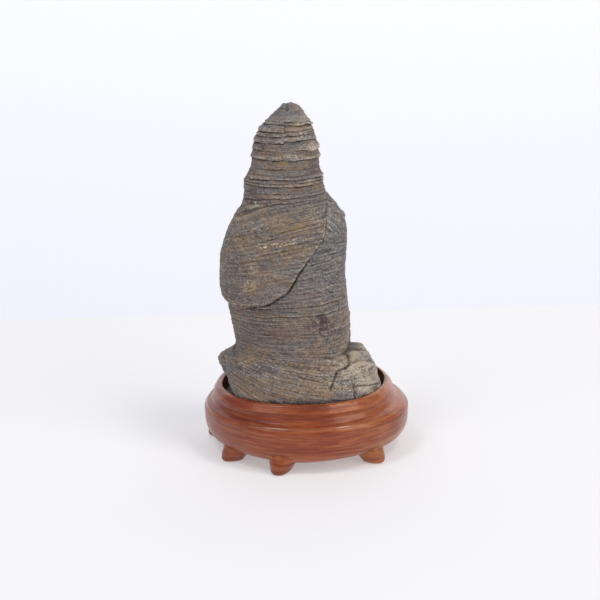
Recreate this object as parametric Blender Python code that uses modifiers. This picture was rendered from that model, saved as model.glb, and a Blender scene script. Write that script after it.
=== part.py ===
"""Scholar's rock standing in its carved rosewood stand.

Metres, +Z up, the front towards -Y. The origin is on the table, under the middle of the stand.
There are two pieces: the stone, and the stand, which is one block of wood with six feet and a
recess that the stone stands in. All the sizes below are in millimetres, and heights are above
the table. An azimuth is in degrees, counter-clockwise from +X when seen from above, so 270 is
the middle of the front.
"""

import math

import bmesh
import bpy
import numpy as np
from mathutils import Vector, noise

MM = 0.001
FAR = 200.0
LEAST_FACING = 0.02  # a side that faces a direction less than this doesn't limit it
GAP = 0.3  # between the stone's underside and the floor of the recess

# Stand: an oval turned form, slightly turned about the vertical
BELLY_RADIUS = 51.7
BELLY_HEIGHT = 20.6
BELLY_FOOT = (40.8, 5.5)  # radius and height of the flat underside's edge
RIDGE = (49.3, 25.4)  # the carved edge between the belly and its sloping shoulder
GROOVE = (44.5, 29.3)  # under the collar
COLLAR = (45.1, 30.3)
RIM_OUTER = (42.9, 33.4)
RIM_TOP = (41.2, 34.0)
RIM_INNER = (40.4, 33.5)
SEAT_RADIUS = 39.6
SEAT_HEIGHT = 27.0
DEPTH_RATIO = 0.88  # front-to-back size of the oval over its width
STAND_TURN = -7.0
COLLAR_SHIFT = (-1.4, 0.0)  # the collar sits a little left of the belly's middle
COLLAR_SQUARENESS = 2.15
OPENING_SHIFT = (-1.0, 0.2)
OPENING_SQUARENESS = 2.45
STAND_STEPS = 56

# azimuth of each foot, and how far its toe stays inside the belly's widest ring
FEET = ((27.0, 1.0), (95.0, 1.0), (165.5, -0.8), (210.5, 2.2), (250.5, 0.4), (321.5, 1.6))
# height, inner end, outer end (both from the toe, outwards positive), half width
FOOT_SECTIONS = (
    (0.0, -9.0, -0.7, 4.8),
    (1.0, -9.6, 0.3, 5.8),
    (3.6, -11.0, 0.1, 7.0),
    (7.0, -13.0, -0.8, 8.2),
    (10.2, -12.5, -2.4, 6.6),
)
FOOT_SIDES = 12
FOOT_BOW = 0.5  # how much a foot narrows from its inner end to its toe

# Stone: the axis that its radii are measured from
AXIS = (-6.0, -1.0)
STONE_FOOT = SEAT_HEIGHT + GAP
STONE_TOP = 175.2
NECK = 134.0  # where the head meets the shoulders

# height, left, right, front, back, squareness of the outline
BODY = (
    (27.3, -34.0, 25.0, -30.0, 27.0, 2.5),
    (44.0, -35.0, 23.6, -28.5, 27.0, 2.5),
    (57.0, -33.6, 22.6, -27.0, 26.5, 2.4),
    (66.0, -35.4, 22.1, -26.0, 26.0, 2.4),
    (76.0, -37.6, 21.9, -25.2, 25.0, 2.4),
    (92.0, -38.2, 21.2, -24.4, 24.0, 2.4),
    (106.0, -36.2, 21.6, -22.4, 22.5, 2.4),
    (118.8, -31.8, 21.2, -18.6, 19.5, 2.4),
    (125.0, -28.4, 17.0, -16.0, 16.5, 2.2),
    (131.0, -27.2, 12.6, -14.2, 13.8, 2.1),
    (137.0, -26.8, 10.9, -13.2, 12.6, 2.0),
    (140.0, -25.4, 9.9, -12.6, 11.9, 2.0),
    (146.0, -23.6, 9.2, -11.9, 11.2, 2.0),
    (154.0, -22.6, 9.3, -11.2, 10.4, 2.0),
    (158.5, -21.2, 8.0, -10.6, 9.8, 2.0),
    (163.5, -18.6, 7.2, -9.6, 8.6, 2.0),
    (169.4, -12.9, 2.9, -6.6, 5.8, 2.0),
    (173.0, -9.4, 0.8, -4.0, 3.0, 2.0),
    (175.2, -7.6, -2.6, -2.2, 0.8, 2.0),
)
BASE = (
    (27.3, -35.6, 34.0, -32.0, 31.5, 2.6),
    (34.0, -37.4, 35.0, -33.6, 33.0, 2.6),
    (40.5, -40.2, 32.0, -32.6, 32.2, 2.5),
    (44.5, -43.4, 30.0, -31.8, 31.5, 2.4),
    (60.0, -43.6, 26.0, -30.0, 29.5, 2.4),
)
BASE_TUCK = (1.2, 34.0)  # the lower edge is drawn in by this much, below this height

# azimuth, height of the base's upper edge, and over what height it swells out below that edge
BASE_EDGE = (
    (0.0, 45.0, 6.0),
    (40.0, 50.0, 6.0),
    (90.0, 52.0, 5.0),
    (130.0, 55.0, 8.0),
    (180.0, 52.5, 8.0),
    (205.0, 54.0, 8.5),
    (225.0, 56.0, 8.0),
    (250.0, 53.5, 5.0),
    (270.0, 49.0, 4.0),
    (287.0, 45.0, 3.5),
    (310.0, 42.0, 4.0),
)

# The upper layer that wraps the body like a robe: azimuth, its lower edge, its thickness
ROBE = (
    (0.0, 131.0, 1.2),
    (30.0, 126.0, 1.6),
    (60.0, 116.0, 2.2),
    (90.0, 105.0, 2.6),
    (120.0, 93.0, 2.8),
    (150.0, 84.0, 3.0),
    (180.0, 79.0, 3.8),
    (212.0, 77.5, 3.6),
    (237.0, 81.6, 2.9),
    (258.0, 84.5, 2.8),
    (270.0, 90.5, 2.7),
    (287.0, 100.7, 2.4),
    (301.0, 107.7, 2.1),
    (318.0, 116.0, 1.8),
    (327.0, 122.0, 1.5),
    (342.0, 128.0, 1.3),
)
ROBE_FADE = 22.0  # below the neck, over what height the robe reaches its thickness
ROBE_ROUNDING = 1.6

# The block leaning on the lower right: outward azimuth and elevation of each side, and how far
# that side is from the block's middle
BLOCK_MIDDLE = (22.0, -8.0, 42.0)
BLOCK_SIDES = (
    (-6.0, 10.0, 13.3),
    (-10.0, 47.0, 11.2),
    (-32.0, 10.0, 14.6),
    (-62.0, 12.0, 16.0),
    (-98.0, 14.0, 20.0),
    (-45.0, 62.0, 12.0),
    (0.0, 90.0, 10.8),
    (38.0, 8.0, 11.0),
    (85.0, 20.0, 12.0),
)
BLOCK_AZIMUTH = -20.0  # the block is only on this side of the stone
BLOCK_SPREAD = 72.0  # how far to each side of that azimuth it may reach
BLOCK_ROUNDING = 1.1

# Beds of the head: the height of each bed's lower lip, and how far the lip stands out
HEAD_BEDS = (
    (166.4, 0.9),
    (163.4, 0.8),
    (161.1, 0.7),
    (158.7, 0.8),
    (154.4, 0.9),
    (149.9, 1.3),
    (145.3, 0.7),
    (141.3, 0.6),
    (138.4, 0.8),
    (136.6, 0.9),
)
HEAD_TOP_BED = 171.2  # top of the head's first bed
HEAD_FAULT = (262.0, 1.2, 154.6)  # azimuth of the fault in the head, its rise, its lowest point
BODY_BED = 5.4  # thickness of a bed below the neck
BODY_BED_RELIEF = 0.45
LIP = 0.55  # height over which a lip turns under
LIP_SHARPNESS = 1.4
LIP_MIDDLE = 0.35  # share of a lip's relief that lies inside the smooth surface
# height, and how much the beds fall towards the left there
BED_TILT = (
    (30.0, -0.30),
    (45.0, -0.28),
    (60.0, -0.05),
    (80.0, 0.04),
    (100.0, 0.16),
    (120.0, 0.34),
    (133.0, 0.0),
)
BED_LEVEL_X = -10.0  # where across the stone a bed has its nominal height

# Grooves: depth, width, and the azimuths and heights that they pass through
GROOVES = (
    (1.0, 2.6, ((198.0, 47.0), (212.0, 48.5), (232.0, 49.6), (252.0, 48.8))),
    (1.3, 2.8, ((299.0, 77.0), (299.0, 68.0), (297.0, 58.0))),
    (1.1, 1.6, ((72.0, 118.0), (80.0, 96.0), (70.0, 72.0), (78.0, 52.0))),
    (0.9, 1.8, ((140.0, 74.0), (128.0, 62.0), (120.0, 46.0))),
)
CREASE = (0.9, 1.0)  # depth and width of the groove where two lumps meet

# Low bumps of the whole surface: size of a bump and its height
SWELLS = ((24.0, 1.5), (10.0, 0.7), (4.5, 0.3))

# The stone's mesh: columns round it, and rings from the tip to the foot
STONE_COLUMNS = 56
TIP_RINGS = (0.4, 1.3, 2.8, 4.8)  # how far these rings lie below the tip
EDGE_RING_OFFSET = 0.7  # between the robe's edge and the rings over and under it
LEVEL_AGAIN = 58.0  # below this height the rings are level
ROBE_RINGS = 13
LOWER_RINGS = 13
BASE_RINGS = 11

STONE_COLOUR = (0.115, 0.096, 0.075)
WOOD_COLOUR = (0.270, 0.075, 0.028)


def smooth(t):
    """Eased step from 0 to 1."""
    t = np.clip(t, 0.0, 1.0)
    return t * t * (3.0 - 2.0 * t)


def soft_min(values, rounding):
    """Smallest of the values, with the corners between them rounded."""
    lowest = values.min(axis=0)
    return lowest - rounding * np.log(np.exp((lowest - values) / rounding).sum(axis=0))


def through(places, values, at, period=0.0):
    """Smooth curve through values known at places, read at other places; it doesn't overshoot."""
    if period:
        places = np.concatenate(([places[-1] - period], places, [places[0] + period]))
        values = np.concatenate((values[-1:], values, values[:1]))
        at = np.mod(at, period)
    steps = np.diff(values) / np.diff(places)
    before, after = steps[:-1], steps[1:]
    same_way = before * after > 0
    total = np.where(same_way, before + after, 1.0)
    inner = np.where(same_way, 2.0 * before * after / total, 0.0)
    slopes = np.concatenate((steps[:1], inner, steps[-1:]))
    k = np.clip(np.searchsorted(places, at) - 1, 0, len(places) - 2)
    width = places[k + 1] - places[k]
    t = np.clip((at - places[k]) / width, 0.0, 1.0)
    rise = values[k + 1] - values[k]
    return (
        values[k]
        + rise * t * t * (3.0 - 2.0 * t)
        + width * t * (1.0 - t) * (slopes[k] * (1.0 - t) - slopes[k + 1] * t)
    )


def oval_radius(sections, azimuth, height):
    """Distance from the stone's axis to a stack of squared ovals, by azimuth and height."""
    table = np.array(sections)
    left, right, front, back, power = (
        through(table[:, 0], table[:, i], height) for i in range(1, 6)
    )
    across, along = np.cos(np.radians(azimuth)), np.sin(np.radians(azimuth))
    half_x = np.where(across > 0, right - AXIS[0], AXIS[0] - left)
    half_y = np.where(along > 0, back - AXIS[1], AXIS[1] - front)
    return (np.abs(across / half_x) ** power + np.abs(along / half_y) ** power) ** (
        -1.0 / power
    )


def block_radius(azimuth, height):
    """Distance from the stone's axis to the flat sides of the block at the lower right."""
    across, along = np.cos(np.radians(azimuth)), np.sin(np.radians(azimuth))
    reaches = []
    for side_azimuth, elevation, distance in BLOCK_SIDES:
        turn, lift = math.radians(side_azimuth), math.radians(elevation)
        normal = (math.cos(turn) * math.cos(lift), math.sin(turn) * math.cos(lift))
        start = (
            normal[0] * (BLOCK_MIDDLE[0] - AXIS[0])
            + normal[1] * (BLOCK_MIDDLE[1] - AXIS[1])
            + math.sin(lift) * (BLOCK_MIDDLE[2] - height)
            + distance
        )
        facing = normal[0] * across + normal[1] * along
        no_limit = np.where(start > 0.0, FAR, 0.0)
        reach = start / np.maximum(facing, LEAST_FACING)
        reaches.append(np.where(facing > LEAST_FACING, reach, no_limit))
    nearest = np.maximum(soft_min(np.array(reaches), BLOCK_ROUNDING), 0.0)
    aside = np.abs((azimuth - BLOCK_AZIMUTH + 180.0) % 360.0 - 180.0)
    return np.where(aside < BLOCK_SPREAD, nearest, 0.0)


def line_distance(azimuth, height, radius, points):
    """Distance over the surface from each place to a line of azimuths and heights."""
    nearest = np.full(len(height), FAR)
    for (turn_a, level_a), (turn_b, level_b) in zip(points, points[1:]):
        start = np.radians((azimuth - turn_a + 180.0) % 360.0 - 180.0) * radius
        end = math.radians(turn_b - turn_a) * radius
        rise = level_b - level_a
        share = (start * end + (height - level_a) * rise) / (end * end + rise * rise)
        share = np.clip(share, 0.0, 1.0)
        gap = np.hypot(start - share * end, height - level_a - share * rise)
        nearest = np.minimum(nearest, gap)
    return nearest


def bed_level(azimuth, radius, height):
    """Height as the beds count it: level in the head, rising to the right in the robe and
    falling to the right in the base."""
    x = AXIS[0] + radius * np.cos(np.radians(azimuth))
    table = np.array(BED_TILT)
    return height - through(table[:, 0], table[:, 1], height) * (x - BED_LEVEL_X)


def saw_tooth(share, span):
    """Bed relief: share runs from 0 at a bed's top to 1 at its lip, then it turns under."""
    turn_under = smooth((1.0 - share) * span / LIP)
    return share**LIP_SHARPNESS * turn_under - LIP_MIDDLE


def fault_rise(azimuth, height):
    """How far the beds are lifted on the right of the upright fault in the head."""
    turn, rise, lowest = HEAD_FAULT
    side = (azimuth - turn + 180.0) % 360.0 - 180.0
    return rise * smooth((height - lowest) / 3.0) * smooth(side / 4.0) * smooth((120.0 - side) / 60.0)


def head_relief(azimuth, height):
    """How far the beds of the head stand out."""
    level = height - fault_rise(azimuth, height)
    tops = [HEAD_TOP_BED] + [lip for lip, _ in HEAD_BEDS[:-1]]
    relief = np.zeros(len(height))
    for top, (lip, depth) in zip(tops, HEAD_BEDS):
        inside = (level <= top) & (level > lip)
        share = np.clip((top - level) / (top - lip), 0.0, 1.0)
        relief = np.where(inside, depth * saw_tooth(share, top - lip), relief)
    return relief


def body_relief(azimuth, radius, height):
    """How far the beds below the neck stand out."""
    level = bed_level(azimuth, radius, height) / BODY_BED
    return BODY_BED_RELIEF * saw_tooth(1.0 - (level - np.floor(level)), BODY_BED)


def swell(azimuth, radius, height):
    """Low, irregular bumps all over the stone."""
    result = np.zeros(len(height))
    x = AXIS[0] + radius * np.cos(np.radians(azimuth))
    y = AXIS[1] + radius * np.sin(np.radians(azimuth))
    for size, amount in SWELLS:
        result += amount * np.array(
            [noise.noise(Vector(place) / size) for place in zip(x, y, height)]
        )
    return result


def stone_radius(azimuth, height):
    """Distance from the stone's axis to its surface, by azimuth and height."""
    body = oval_radius(BODY, azimuth, height)

    robe = np.array(ROBE)
    edge = through(robe[:, 0], robe[:, 1], azimuth, 360.0)
    nearby = through(robe[:, 0], robe[:, 1], azimuth + 2.0, 360.0)
    slope = (nearby - edge) / (math.radians(2.0) * body)
    above = (height - edge) / np.sqrt(1.0 + slope * slope)
    thickness = through(robe[:, 0], robe[:, 2], azimuth, 360.0)
    thickness = thickness * smooth((NECK - height) / ROBE_FADE)
    radius = body + thickness * smooth(above / ROBE_ROUNDING)
    radius -= CREASE[0] * np.exp(-((above / CREASE[1]) ** 2)) * smooth((NECK - height) / 6.0)

    base = np.array(BASE_EDGE)
    top = through(base[:, 0], base[:, 1], azimuth, 360.0)
    reach = through(base[:, 0], base[:, 2], azimuth, 360.0)
    share = smooth((top - height) / reach)
    radius = radius * (1.0 - share) + oval_radius(BASE, azimuth, height) * share

    block = block_radius(azimuth, height)
    crease = CREASE[0] * np.exp(-(((block - radius) / CREASE[1]) ** 2)) * (block > 5.0)
    radius = np.maximum(radius, block) - crease

    tuck, tuck_height = BASE_TUCK
    radius = radius - tuck * smooth((tuck_height - height) / (tuck_height - STONE_FOOT))

    for depth, width, points in GROOVES:
        gap = line_distance(azimuth, height, radius, points)
        radius -= depth * np.exp(-((gap / width) ** 2))

    in_head = smooth((height - NECK) / 2.0)
    relief = head_relief(azimuth, height) * in_head
    relief += body_relief(azimuth, radius, height) * (1.0 - in_head)
    fade = smooth((STONE_TOP - height) / 12.0) * smooth((height - STONE_FOOT) / 6.0)
    return radius + relief + swell(azimuth, radius, height) * fade


def stone_rings(azimuths):
    """Heights of the stone's rings at these azimuths, from the top down. The head's rings are
    level, with one over and one under each lip; those of the body bend to follow the edge of
    the robe, with one over and one under it."""
    level = np.ones_like(azimuths)
    rings = [level * (STONE_TOP - drop) for drop in TIP_RINGS]
    for (lip, _), (below, _) in zip(HEAD_BEDS, HEAD_BEDS[1:]):
        lifted = lip + fault_rise(azimuths, lip)
        rings += [lifted + LIP, lifted - 0.1]
        if lip - below > 3.0:
            rings.append(level * (lip + below) / 2.0)
    last = HEAD_BEDS[-1][0]
    rings += [level * (last + LIP), level * (last - 0.1)]
    robe = np.array(ROBE)
    edge = through(robe[:, 0], robe[:, 1], azimuths, 360.0)
    for share in np.linspace(0.0, 1.0, ROBE_RINGS + 1)[1:]:
        rings.append((last - 0.1) * (1.0 - share) + (edge + EDGE_RING_OFFSET) * share)
    for share in np.linspace(0.0, 1.0, LOWER_RINGS + 1):
        rings.append((edge - EDGE_RING_OFFSET) * (1.0 - share) + LEVEL_AGAIN * share)
    for share in np.linspace(0.0, 1.0, BASE_RINGS + 1)[1:]:
        rings.append(level * (LEVEL_AGAIN * (1.0 - share) + STONE_FOOT * share))
    return rings


def new_object(name, mesh, collection):
    """Object with this mesh, in this collection."""
    obj = bpy.data.objects.new(name, mesh)
    collection.objects.link(obj)
    return obj


def ringed_mesh(name, sides, rings, top, bottom):
    """Closed mesh from a ball: its rings, from the top down, and its poles are moved to these
    points, in millimetres."""
    mesh = bpy.data.meshes.new(name)
    shape = bmesh.new()
    bmesh.ops.create_uvsphere(
        shape, u_segments=sides, v_segments=len(rings) + 1, radius=1.0
    )
    for vertex in shape.verts:
        polar = math.acos(max(-1.0, min(1.0, vertex.co.z)))
        ring = round(polar / math.pi * (len(rings) + 1))
        if ring == 0:
            point = top
        elif ring == len(rings) + 1:
            point = bottom
        else:
            turn = math.atan2(vertex.co.y, vertex.co.x)
            point = rings[ring - 1][round(turn / math.tau * sides) % sides]
        vertex.co = Vector(point) * MM
    shape.to_mesh(mesh)
    shape.free()
    return mesh


def build_stone(collection, material):
    """The stone: rings of points at the distances that stone_radius gives."""
    azimuths = np.arange(STONE_COLUMNS) * 360.0 / STONE_COLUMNS
    rings = []
    for heights in stone_rings(azimuths):
        radius = stone_radius(azimuths, heights)
        x = AXIS[0] + radius * np.cos(np.radians(azimuths))
        y = AXIS[1] + radius * np.sin(np.radians(azimuths))
        rings.append(list(zip(x, y, heights)))
    top = (AXIS[0] + 1.0, AXIS[1] + 0.3, STONE_TOP)
    bottom = (AXIS[0], AXIS[1], STONE_FOOT)
    mesh = ringed_mesh("rock", STONE_COLUMNS, rings, top, bottom)
    mesh.materials.append(material)
    return new_object("rock", mesh, collection)


def quarter(end, power, count):
    """Points of the belly's curve between its widest ring and an end ring, both left out."""
    radius, height = end
    points = []
    for i in range(1, count):
        turn = i / count * math.pi / 2.0
        out = math.cos(turn) ** (2.0 / power)
        away = math.sin(turn) ** (2.0 / power)
        points.append(
            (
                radius + (BELLY_RADIUS - radius) * out,
                BELLY_HEIGHT + (height - BELLY_HEIGHT) * away,
            )
        )
    return points


def stand_profile():
    """Radii and heights from the middle of the recess, over the rim and down the outside."""
    recess = [(0.0, SEAT_HEIGHT), (SEAT_RADIUS, SEAT_HEIGHT)]
    rim = [RIM_INNER, RIM_TOP, RIM_OUTER, COLLAR, GROOVE]
    shoulder = [((GROOVE[0] + RIDGE[0]) / 2.0, (GROOVE[1] + RIDGE[1]) / 2.0), RIDGE]
    upper = quarter(RIDGE, 2.0, 3)[::-1]
    lower = quarter(BELLY_FOOT, 2.76, 5)
    widest = [(BELLY_RADIUS, BELLY_HEIGHT)]
    underside = [BELLY_FOOT, (0.0, BELLY_FOOT[1])]
    return recess + rim + shoulder + upper + widest + lower + underside


def stand_place(point):
    """Turns a point of the round form into its place on the oval stand, in millimetres."""
    height = point.z / MM
    turn = math.atan2(point.y, point.x)
    radius = math.hypot(point.x, point.y) / MM
    if height > SEAT_HEIGHT - GAP and radius < (RIM_INNER[0] + RIM_TOP[0]) / 2.0:
        collar, power, shift = 1.0, OPENING_SQUARENESS, OPENING_SHIFT
    else:
        collar = float(smooth((height - BELLY_HEIGHT) / (GROOVE[1] - BELLY_HEIGHT)))
        power, shift = 2.0 + (COLLAR_SQUARENESS - 2.0) * collar, COLLAR_SHIFT
    spread = (abs(math.cos(turn)) ** power + abs(math.sin(turn)) ** power) ** (-1.0 / power)
    x = radius * spread * math.cos(turn)
    y = radius * spread * math.sin(turn) * DEPTH_RATIO
    oval_turn = math.radians(STAND_TURN)
    return (
        x * math.cos(oval_turn) - y * math.sin(oval_turn) + shift[0] * collar,
        x * math.sin(oval_turn) + y * math.cos(oval_turn) + shift[1] * collar,
        height,
    )


def turned_mesh(name, profile, steps):
    """Closed mesh of a profile screwed once round the vertical axis."""
    outline = bpy.data.meshes.new(name)
    points = [(radius * MM, 0.0, height * MM) for radius, height in profile]
    outline.from_pydata(points, [(i, i + 1) for i in range(len(points) - 1)], [])
    lathe = bpy.data.objects.new(name, outline)
    bpy.context.scene.collection.objects.link(lathe)
    screw = lathe.modifiers.new("turn", "SCREW")
    screw.steps = screw.render_steps = steps
    screw.use_merge_vertices = True
    screw.merge_threshold = 0.00001
    graph = bpy.context.evaluated_depsgraph_get()
    mesh = bpy.data.meshes.new_from_object(lathe.evaluated_get(graph))
    bpy.data.objects.remove(lathe)
    bpy.data.meshes.remove(outline)
    return mesh


def belly_reach(azimuth):
    """Distance from the stand's middle to the widest ring of its oval belly."""
    turn = math.radians(azimuth - STAND_TURN)
    return BELLY_RADIUS / math.hypot(math.cos(turn), math.sin(turn) / DEPTH_RATIO)


def foot_mesh(name, azimuth, inset):
    """One foot: a bow-shaped wedge, wide at the belly and narrow on the table, its toe out."""
    turn = math.radians(azimuth)
    toe = belly_reach(azimuth) - inset
    rings = []
    for height, inner, outer, half_width in reversed(FOOT_SECTIONS):
        middle, half_length = toe + (inner + outer) / 2.0, (outer - inner) / 2.0
        ring = []
        for side in range(FOOT_SIDES):
            angle = side / FOOT_SIDES * math.tau
            narrowing = 1.0 - FOOT_BOW * (1.0 + math.cos(angle)) / 2.0
            out = middle + half_length * math.cos(angle)
            across = half_width * narrowing * math.sin(angle)
            x = out * math.cos(turn) - across * math.sin(turn)
            y = out * math.sin(turn) + across * math.cos(turn)
            ring.append((x, y, height))
        rings.append(ring)
    centre = toe + (FOOT_SECTIONS[0][1] + FOOT_SECTIONS[0][2]) / 2.0
    x, y = centre * math.cos(turn), centre * math.sin(turn)
    return ringed_mesh(
        name, FOOT_SIDES, rings, (x, y, FOOT_SECTIONS[-1][0] + 0.6), (x, y, 0.0)
    )


def build_stand(collection, tools, material):
    """The stand: an oval turned form with six feet joined to its underside."""
    mesh = turned_mesh("stand", stand_profile(), STAND_STEPS)
    for vertex in mesh.vertices:
        vertex.co = Vector(stand_place(vertex.co)) * MM
    mesh.materials.append(material)
    stand = new_object("stand", mesh, collection)
    for number, (azimuth, inset) in enumerate(FEET, start=1):
        name = f"foot_{number}"
        foot = new_object(name, foot_mesh(name, azimuth, inset), tools)
        foot.hide_render = True
        foot.display_type = "WIRE"
        join = stand.modifiers.new(foot.name, "BOOLEAN")
        join.operation = "UNION"
        join.solver = "EXACT"
        join.object = foot
    mesh.shade_smooth()
    mesh.set_sharp_from_angle(angle=math.radians(40.0))
    return stand


def make_material(name, colour, roughness):
    """Principled material without metal."""
    material = bpy.data.materials.new(name)
    material.use_nodes = True
    shader = material.node_tree.nodes["Principled BSDF"]
    shader.inputs["Base Color"].default_value = (*colour, 1.0)
    shader.inputs["Roughness"].default_value = roughness
    shader.inputs["Metallic"].default_value = 0.0
    return material


def make_collection(name):
    """New collection in the scene."""
    collection = bpy.data.collections.new(name)
    bpy.context.scene.collection.children.link(collection)
    return collection


def main():
    """Clears the scene and builds the stone and its stand."""
    for obj in list(bpy.data.objects):
        bpy.data.objects.remove(obj)
    parts = make_collection("scholars_rock")
    tools = make_collection("cutters")
    build_stone(parts, make_material("limestone", STONE_COLOUR, 0.9))
    build_stand(parts, tools, make_material("rosewood", WOOD_COLOUR, 0.35))


main()
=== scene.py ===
"""Dressed model of a scholar's rock standing in its carved rosewood stand.

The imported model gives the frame: metres, +Z up, the front towards -Y, and the origin on the table
under the middle of the stand. Shapes are worked out in millimetres and degrees and turned to
metres where a mesh is made. An azimuth runs counter-clockwise from +X as seen from above, so 270
is the middle of the front.
"""

from __future__ import annotations

import itertools
import logging
import math
from collections.abc import Sequence
from dataclasses import dataclass, replace
from enum import Enum
from functools import cached_property

import bpy
import numpy as np
from mathutils import Matrix, Vector, noise

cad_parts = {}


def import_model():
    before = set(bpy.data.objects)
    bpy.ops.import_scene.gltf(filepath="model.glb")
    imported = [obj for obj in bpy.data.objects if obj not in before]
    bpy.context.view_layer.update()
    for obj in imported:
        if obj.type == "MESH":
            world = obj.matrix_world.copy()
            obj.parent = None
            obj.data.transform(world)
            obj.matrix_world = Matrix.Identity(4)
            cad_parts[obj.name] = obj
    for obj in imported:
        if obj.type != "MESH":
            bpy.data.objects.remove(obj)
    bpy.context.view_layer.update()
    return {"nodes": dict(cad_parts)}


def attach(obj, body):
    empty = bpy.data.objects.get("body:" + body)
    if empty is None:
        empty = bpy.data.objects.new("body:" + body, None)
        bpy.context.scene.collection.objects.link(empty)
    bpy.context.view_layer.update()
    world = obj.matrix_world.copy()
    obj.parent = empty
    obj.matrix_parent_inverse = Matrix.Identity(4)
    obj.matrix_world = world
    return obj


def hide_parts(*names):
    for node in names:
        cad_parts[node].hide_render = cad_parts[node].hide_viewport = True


log = logging.getLogger("scholars_rock")

MM = 0.001
BODY = "root"
FRONT = 270.0  # azimuth of the middle of the front
FULL_TURN = 360.0

Colour = tuple[float, float, float, float]
Point = tuple[float, float, float]
Pair = tuple[float, float]
Array = np.ndarray
Socket = bpy.types.NodeSocket


class Trait(Enum):
    """What a vertex of the stone or the stand tells its material, by attribute name."""

    BED_PLACE = "bed_place"
    PAINTED_SHADE = "hollow"
    LIP = "lip"
    OCHRE = "ochre"
    SLATE = "slate"
    UMBER = "umber"
    PALE = "pale"
    FLECK = "fleck"
    WORN_AND_LIT = "worn"
    PAINTED_RED_SHADE = "deep"
    GRAIN_PLACE = "grain_place"


# ---------------------------------------------------------------- shared arithmetic


def linear(code: str) -> Colour:
    """Linear colour of an sRGB hex code.

    Args:
        code: six hex digits after a hash sign.

    Returns:
        Linear red, green, blue and an alpha of 1.
    """
    channels = [int(code[i : i + 2], 16) / 255.0 for i in (1, 3, 5)]
    red, green, blue = (
        c / 12.92 if c <= 0.04045 else ((c + 0.055) / 1.055) ** 2.4 for c in channels
    )
    return (red, green, blue, 1.0)


def ease(share: Array) -> Array:
    """Eased step from 0 to 1."""
    share = np.clip(share, 0.0, 1.0)
    return share * share * (3.0 - 2.0 * share)


def bell(distance: Array, width: float | Array) -> Array:
    """Bump of height 1 that has fallen to a third at this width."""
    return np.exp(-((distance / width) ** 2))


def turn_between(azimuth: Array, middle: float) -> Array:
    """Signed angle from a middle azimuth, from -180 to 180 degrees."""
    return (azimuth - middle + FULL_TURN / 2.0) % FULL_TURN - FULL_TURN / 2.0


@dataclass(frozen=True)
class Step:
    """Eased step from 0 to 1: where it starts, and its span, which is negative for a step that is
    over at lower measures."""

    start: float
    span: float

    def at(self, measure: Array) -> Array:
        """How much of the step is done at this measure."""
        return ease((measure - self.start) / self.span)


@dataclass(frozen=True)
class Bell:
    """Bump of height 1 round its middle that has fallen to a third at its width."""

    middle: float
    width: float

    def at(self, measure: Array) -> Array:
        """Height of the bump at this measure."""
        return bell(measure - self.middle, self.width)

    def round_at(self, azimuth: Array) -> Array:
        """Height of the bump at this azimuth, where its middle is an azimuth too."""
        return bell(turn_between(azimuth, self.middle), self.width)


def heading(azimuth: Array | float) -> tuple[Array, Array]:
    """How far one step towards an azimuth goes along +X and along +Y."""
    turn = np.radians(azimuth)
    return np.cos(turn), np.sin(turn)


def stacked(x: Array, y: Array, z: Array) -> Array:
    """Points whose coordinates are these, along a new last axis."""
    return np.stack(np.broadcast_arrays(x, y, z), axis=-1)


def blend(first: Array, second: Array, share: Array) -> Array:
    """Mix of two values, the share being that of the second."""
    return first * (1.0 - share) + second * share


def soft_min(values: Array, rounding: float) -> Array:
    """Smallest value along the first axis, with the corners between them rounded."""
    lowest = values.min(axis=0)
    return lowest - rounding * np.log(np.exp((lowest - values) / rounding).sum(axis=0))


def soft_max(first: Array, second: Array, rounding: Array) -> Array:
    """Larger of two values, with the corner between them rounded over this distance."""
    overlap = np.maximum(rounding - np.abs(first - second), 0.0) / rounding
    return np.maximum(first, second) + overlap * overlap * rounding / 4.0


def through(points: Sequence[Pair], at: Array, period: float = 0.0) -> Array:
    """Smooth curve through known values that doesn't overshoot them.

    Args:
        points: where each value is known, in rising order, and the value.
        at: where the curve is read.
        period: length after which the curve repeats, or 0.

    Returns:
        The curve's value at each place that was asked for.
    """
    places, values = np.array(points).T
    if period:
        places = np.concatenate(([places[-1] - period], places, [places[0] + period]))
        values = np.concatenate((values[-1:], values, values[:1]))
        at = np.mod(at, period)
    steps = np.diff(values) / np.diff(places)
    before, after = steps[:-1], steps[1:]
    same_way = before * after > 0
    total = np.where(same_way, before + after, 1.0)
    inner = np.where(same_way, 2.0 * before * after / total, 0.0)
    slopes = np.concatenate((steps[:1], inner, steps[-1:]))
    k = np.clip(np.searchsorted(places, at) - 1, 0, len(places) - 2)
    width = places[k + 1] - places[k]
    t = np.clip((at - places[k]) / width, 0.0, 1.0)
    rise = values[k + 1] - values[k]
    bend = slopes[k] * (1.0 - t) - slopes[k + 1] * t
    return values[k] + rise * t * t * (3.0 - 2.0 * t) + width * t * (1.0 - t) * bend


def table(kind: type, *rows: tuple) -> tuple:
    """Things of one kind, each made from its row of values."""
    return tuple(kind(*row) for row in rows)


def measures(rows: Sequence[object], key: str, name: str) -> list[Pair]:
    """Pairs of two fields of each row, for a curve to run through."""
    return [(getattr(row, key), getattr(row, name)) for row in rows]


HASH_STEPS = (374761393, 668265263, 1442695041)
HASH_SEED, HASH_MIX = 1013904223, 1274126177
HASH_BITS = 1023  # of each of the three numbers that make up a random slope
NOISE_GAIN = 1.7  # brings the noise to about -1 to 1


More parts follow.
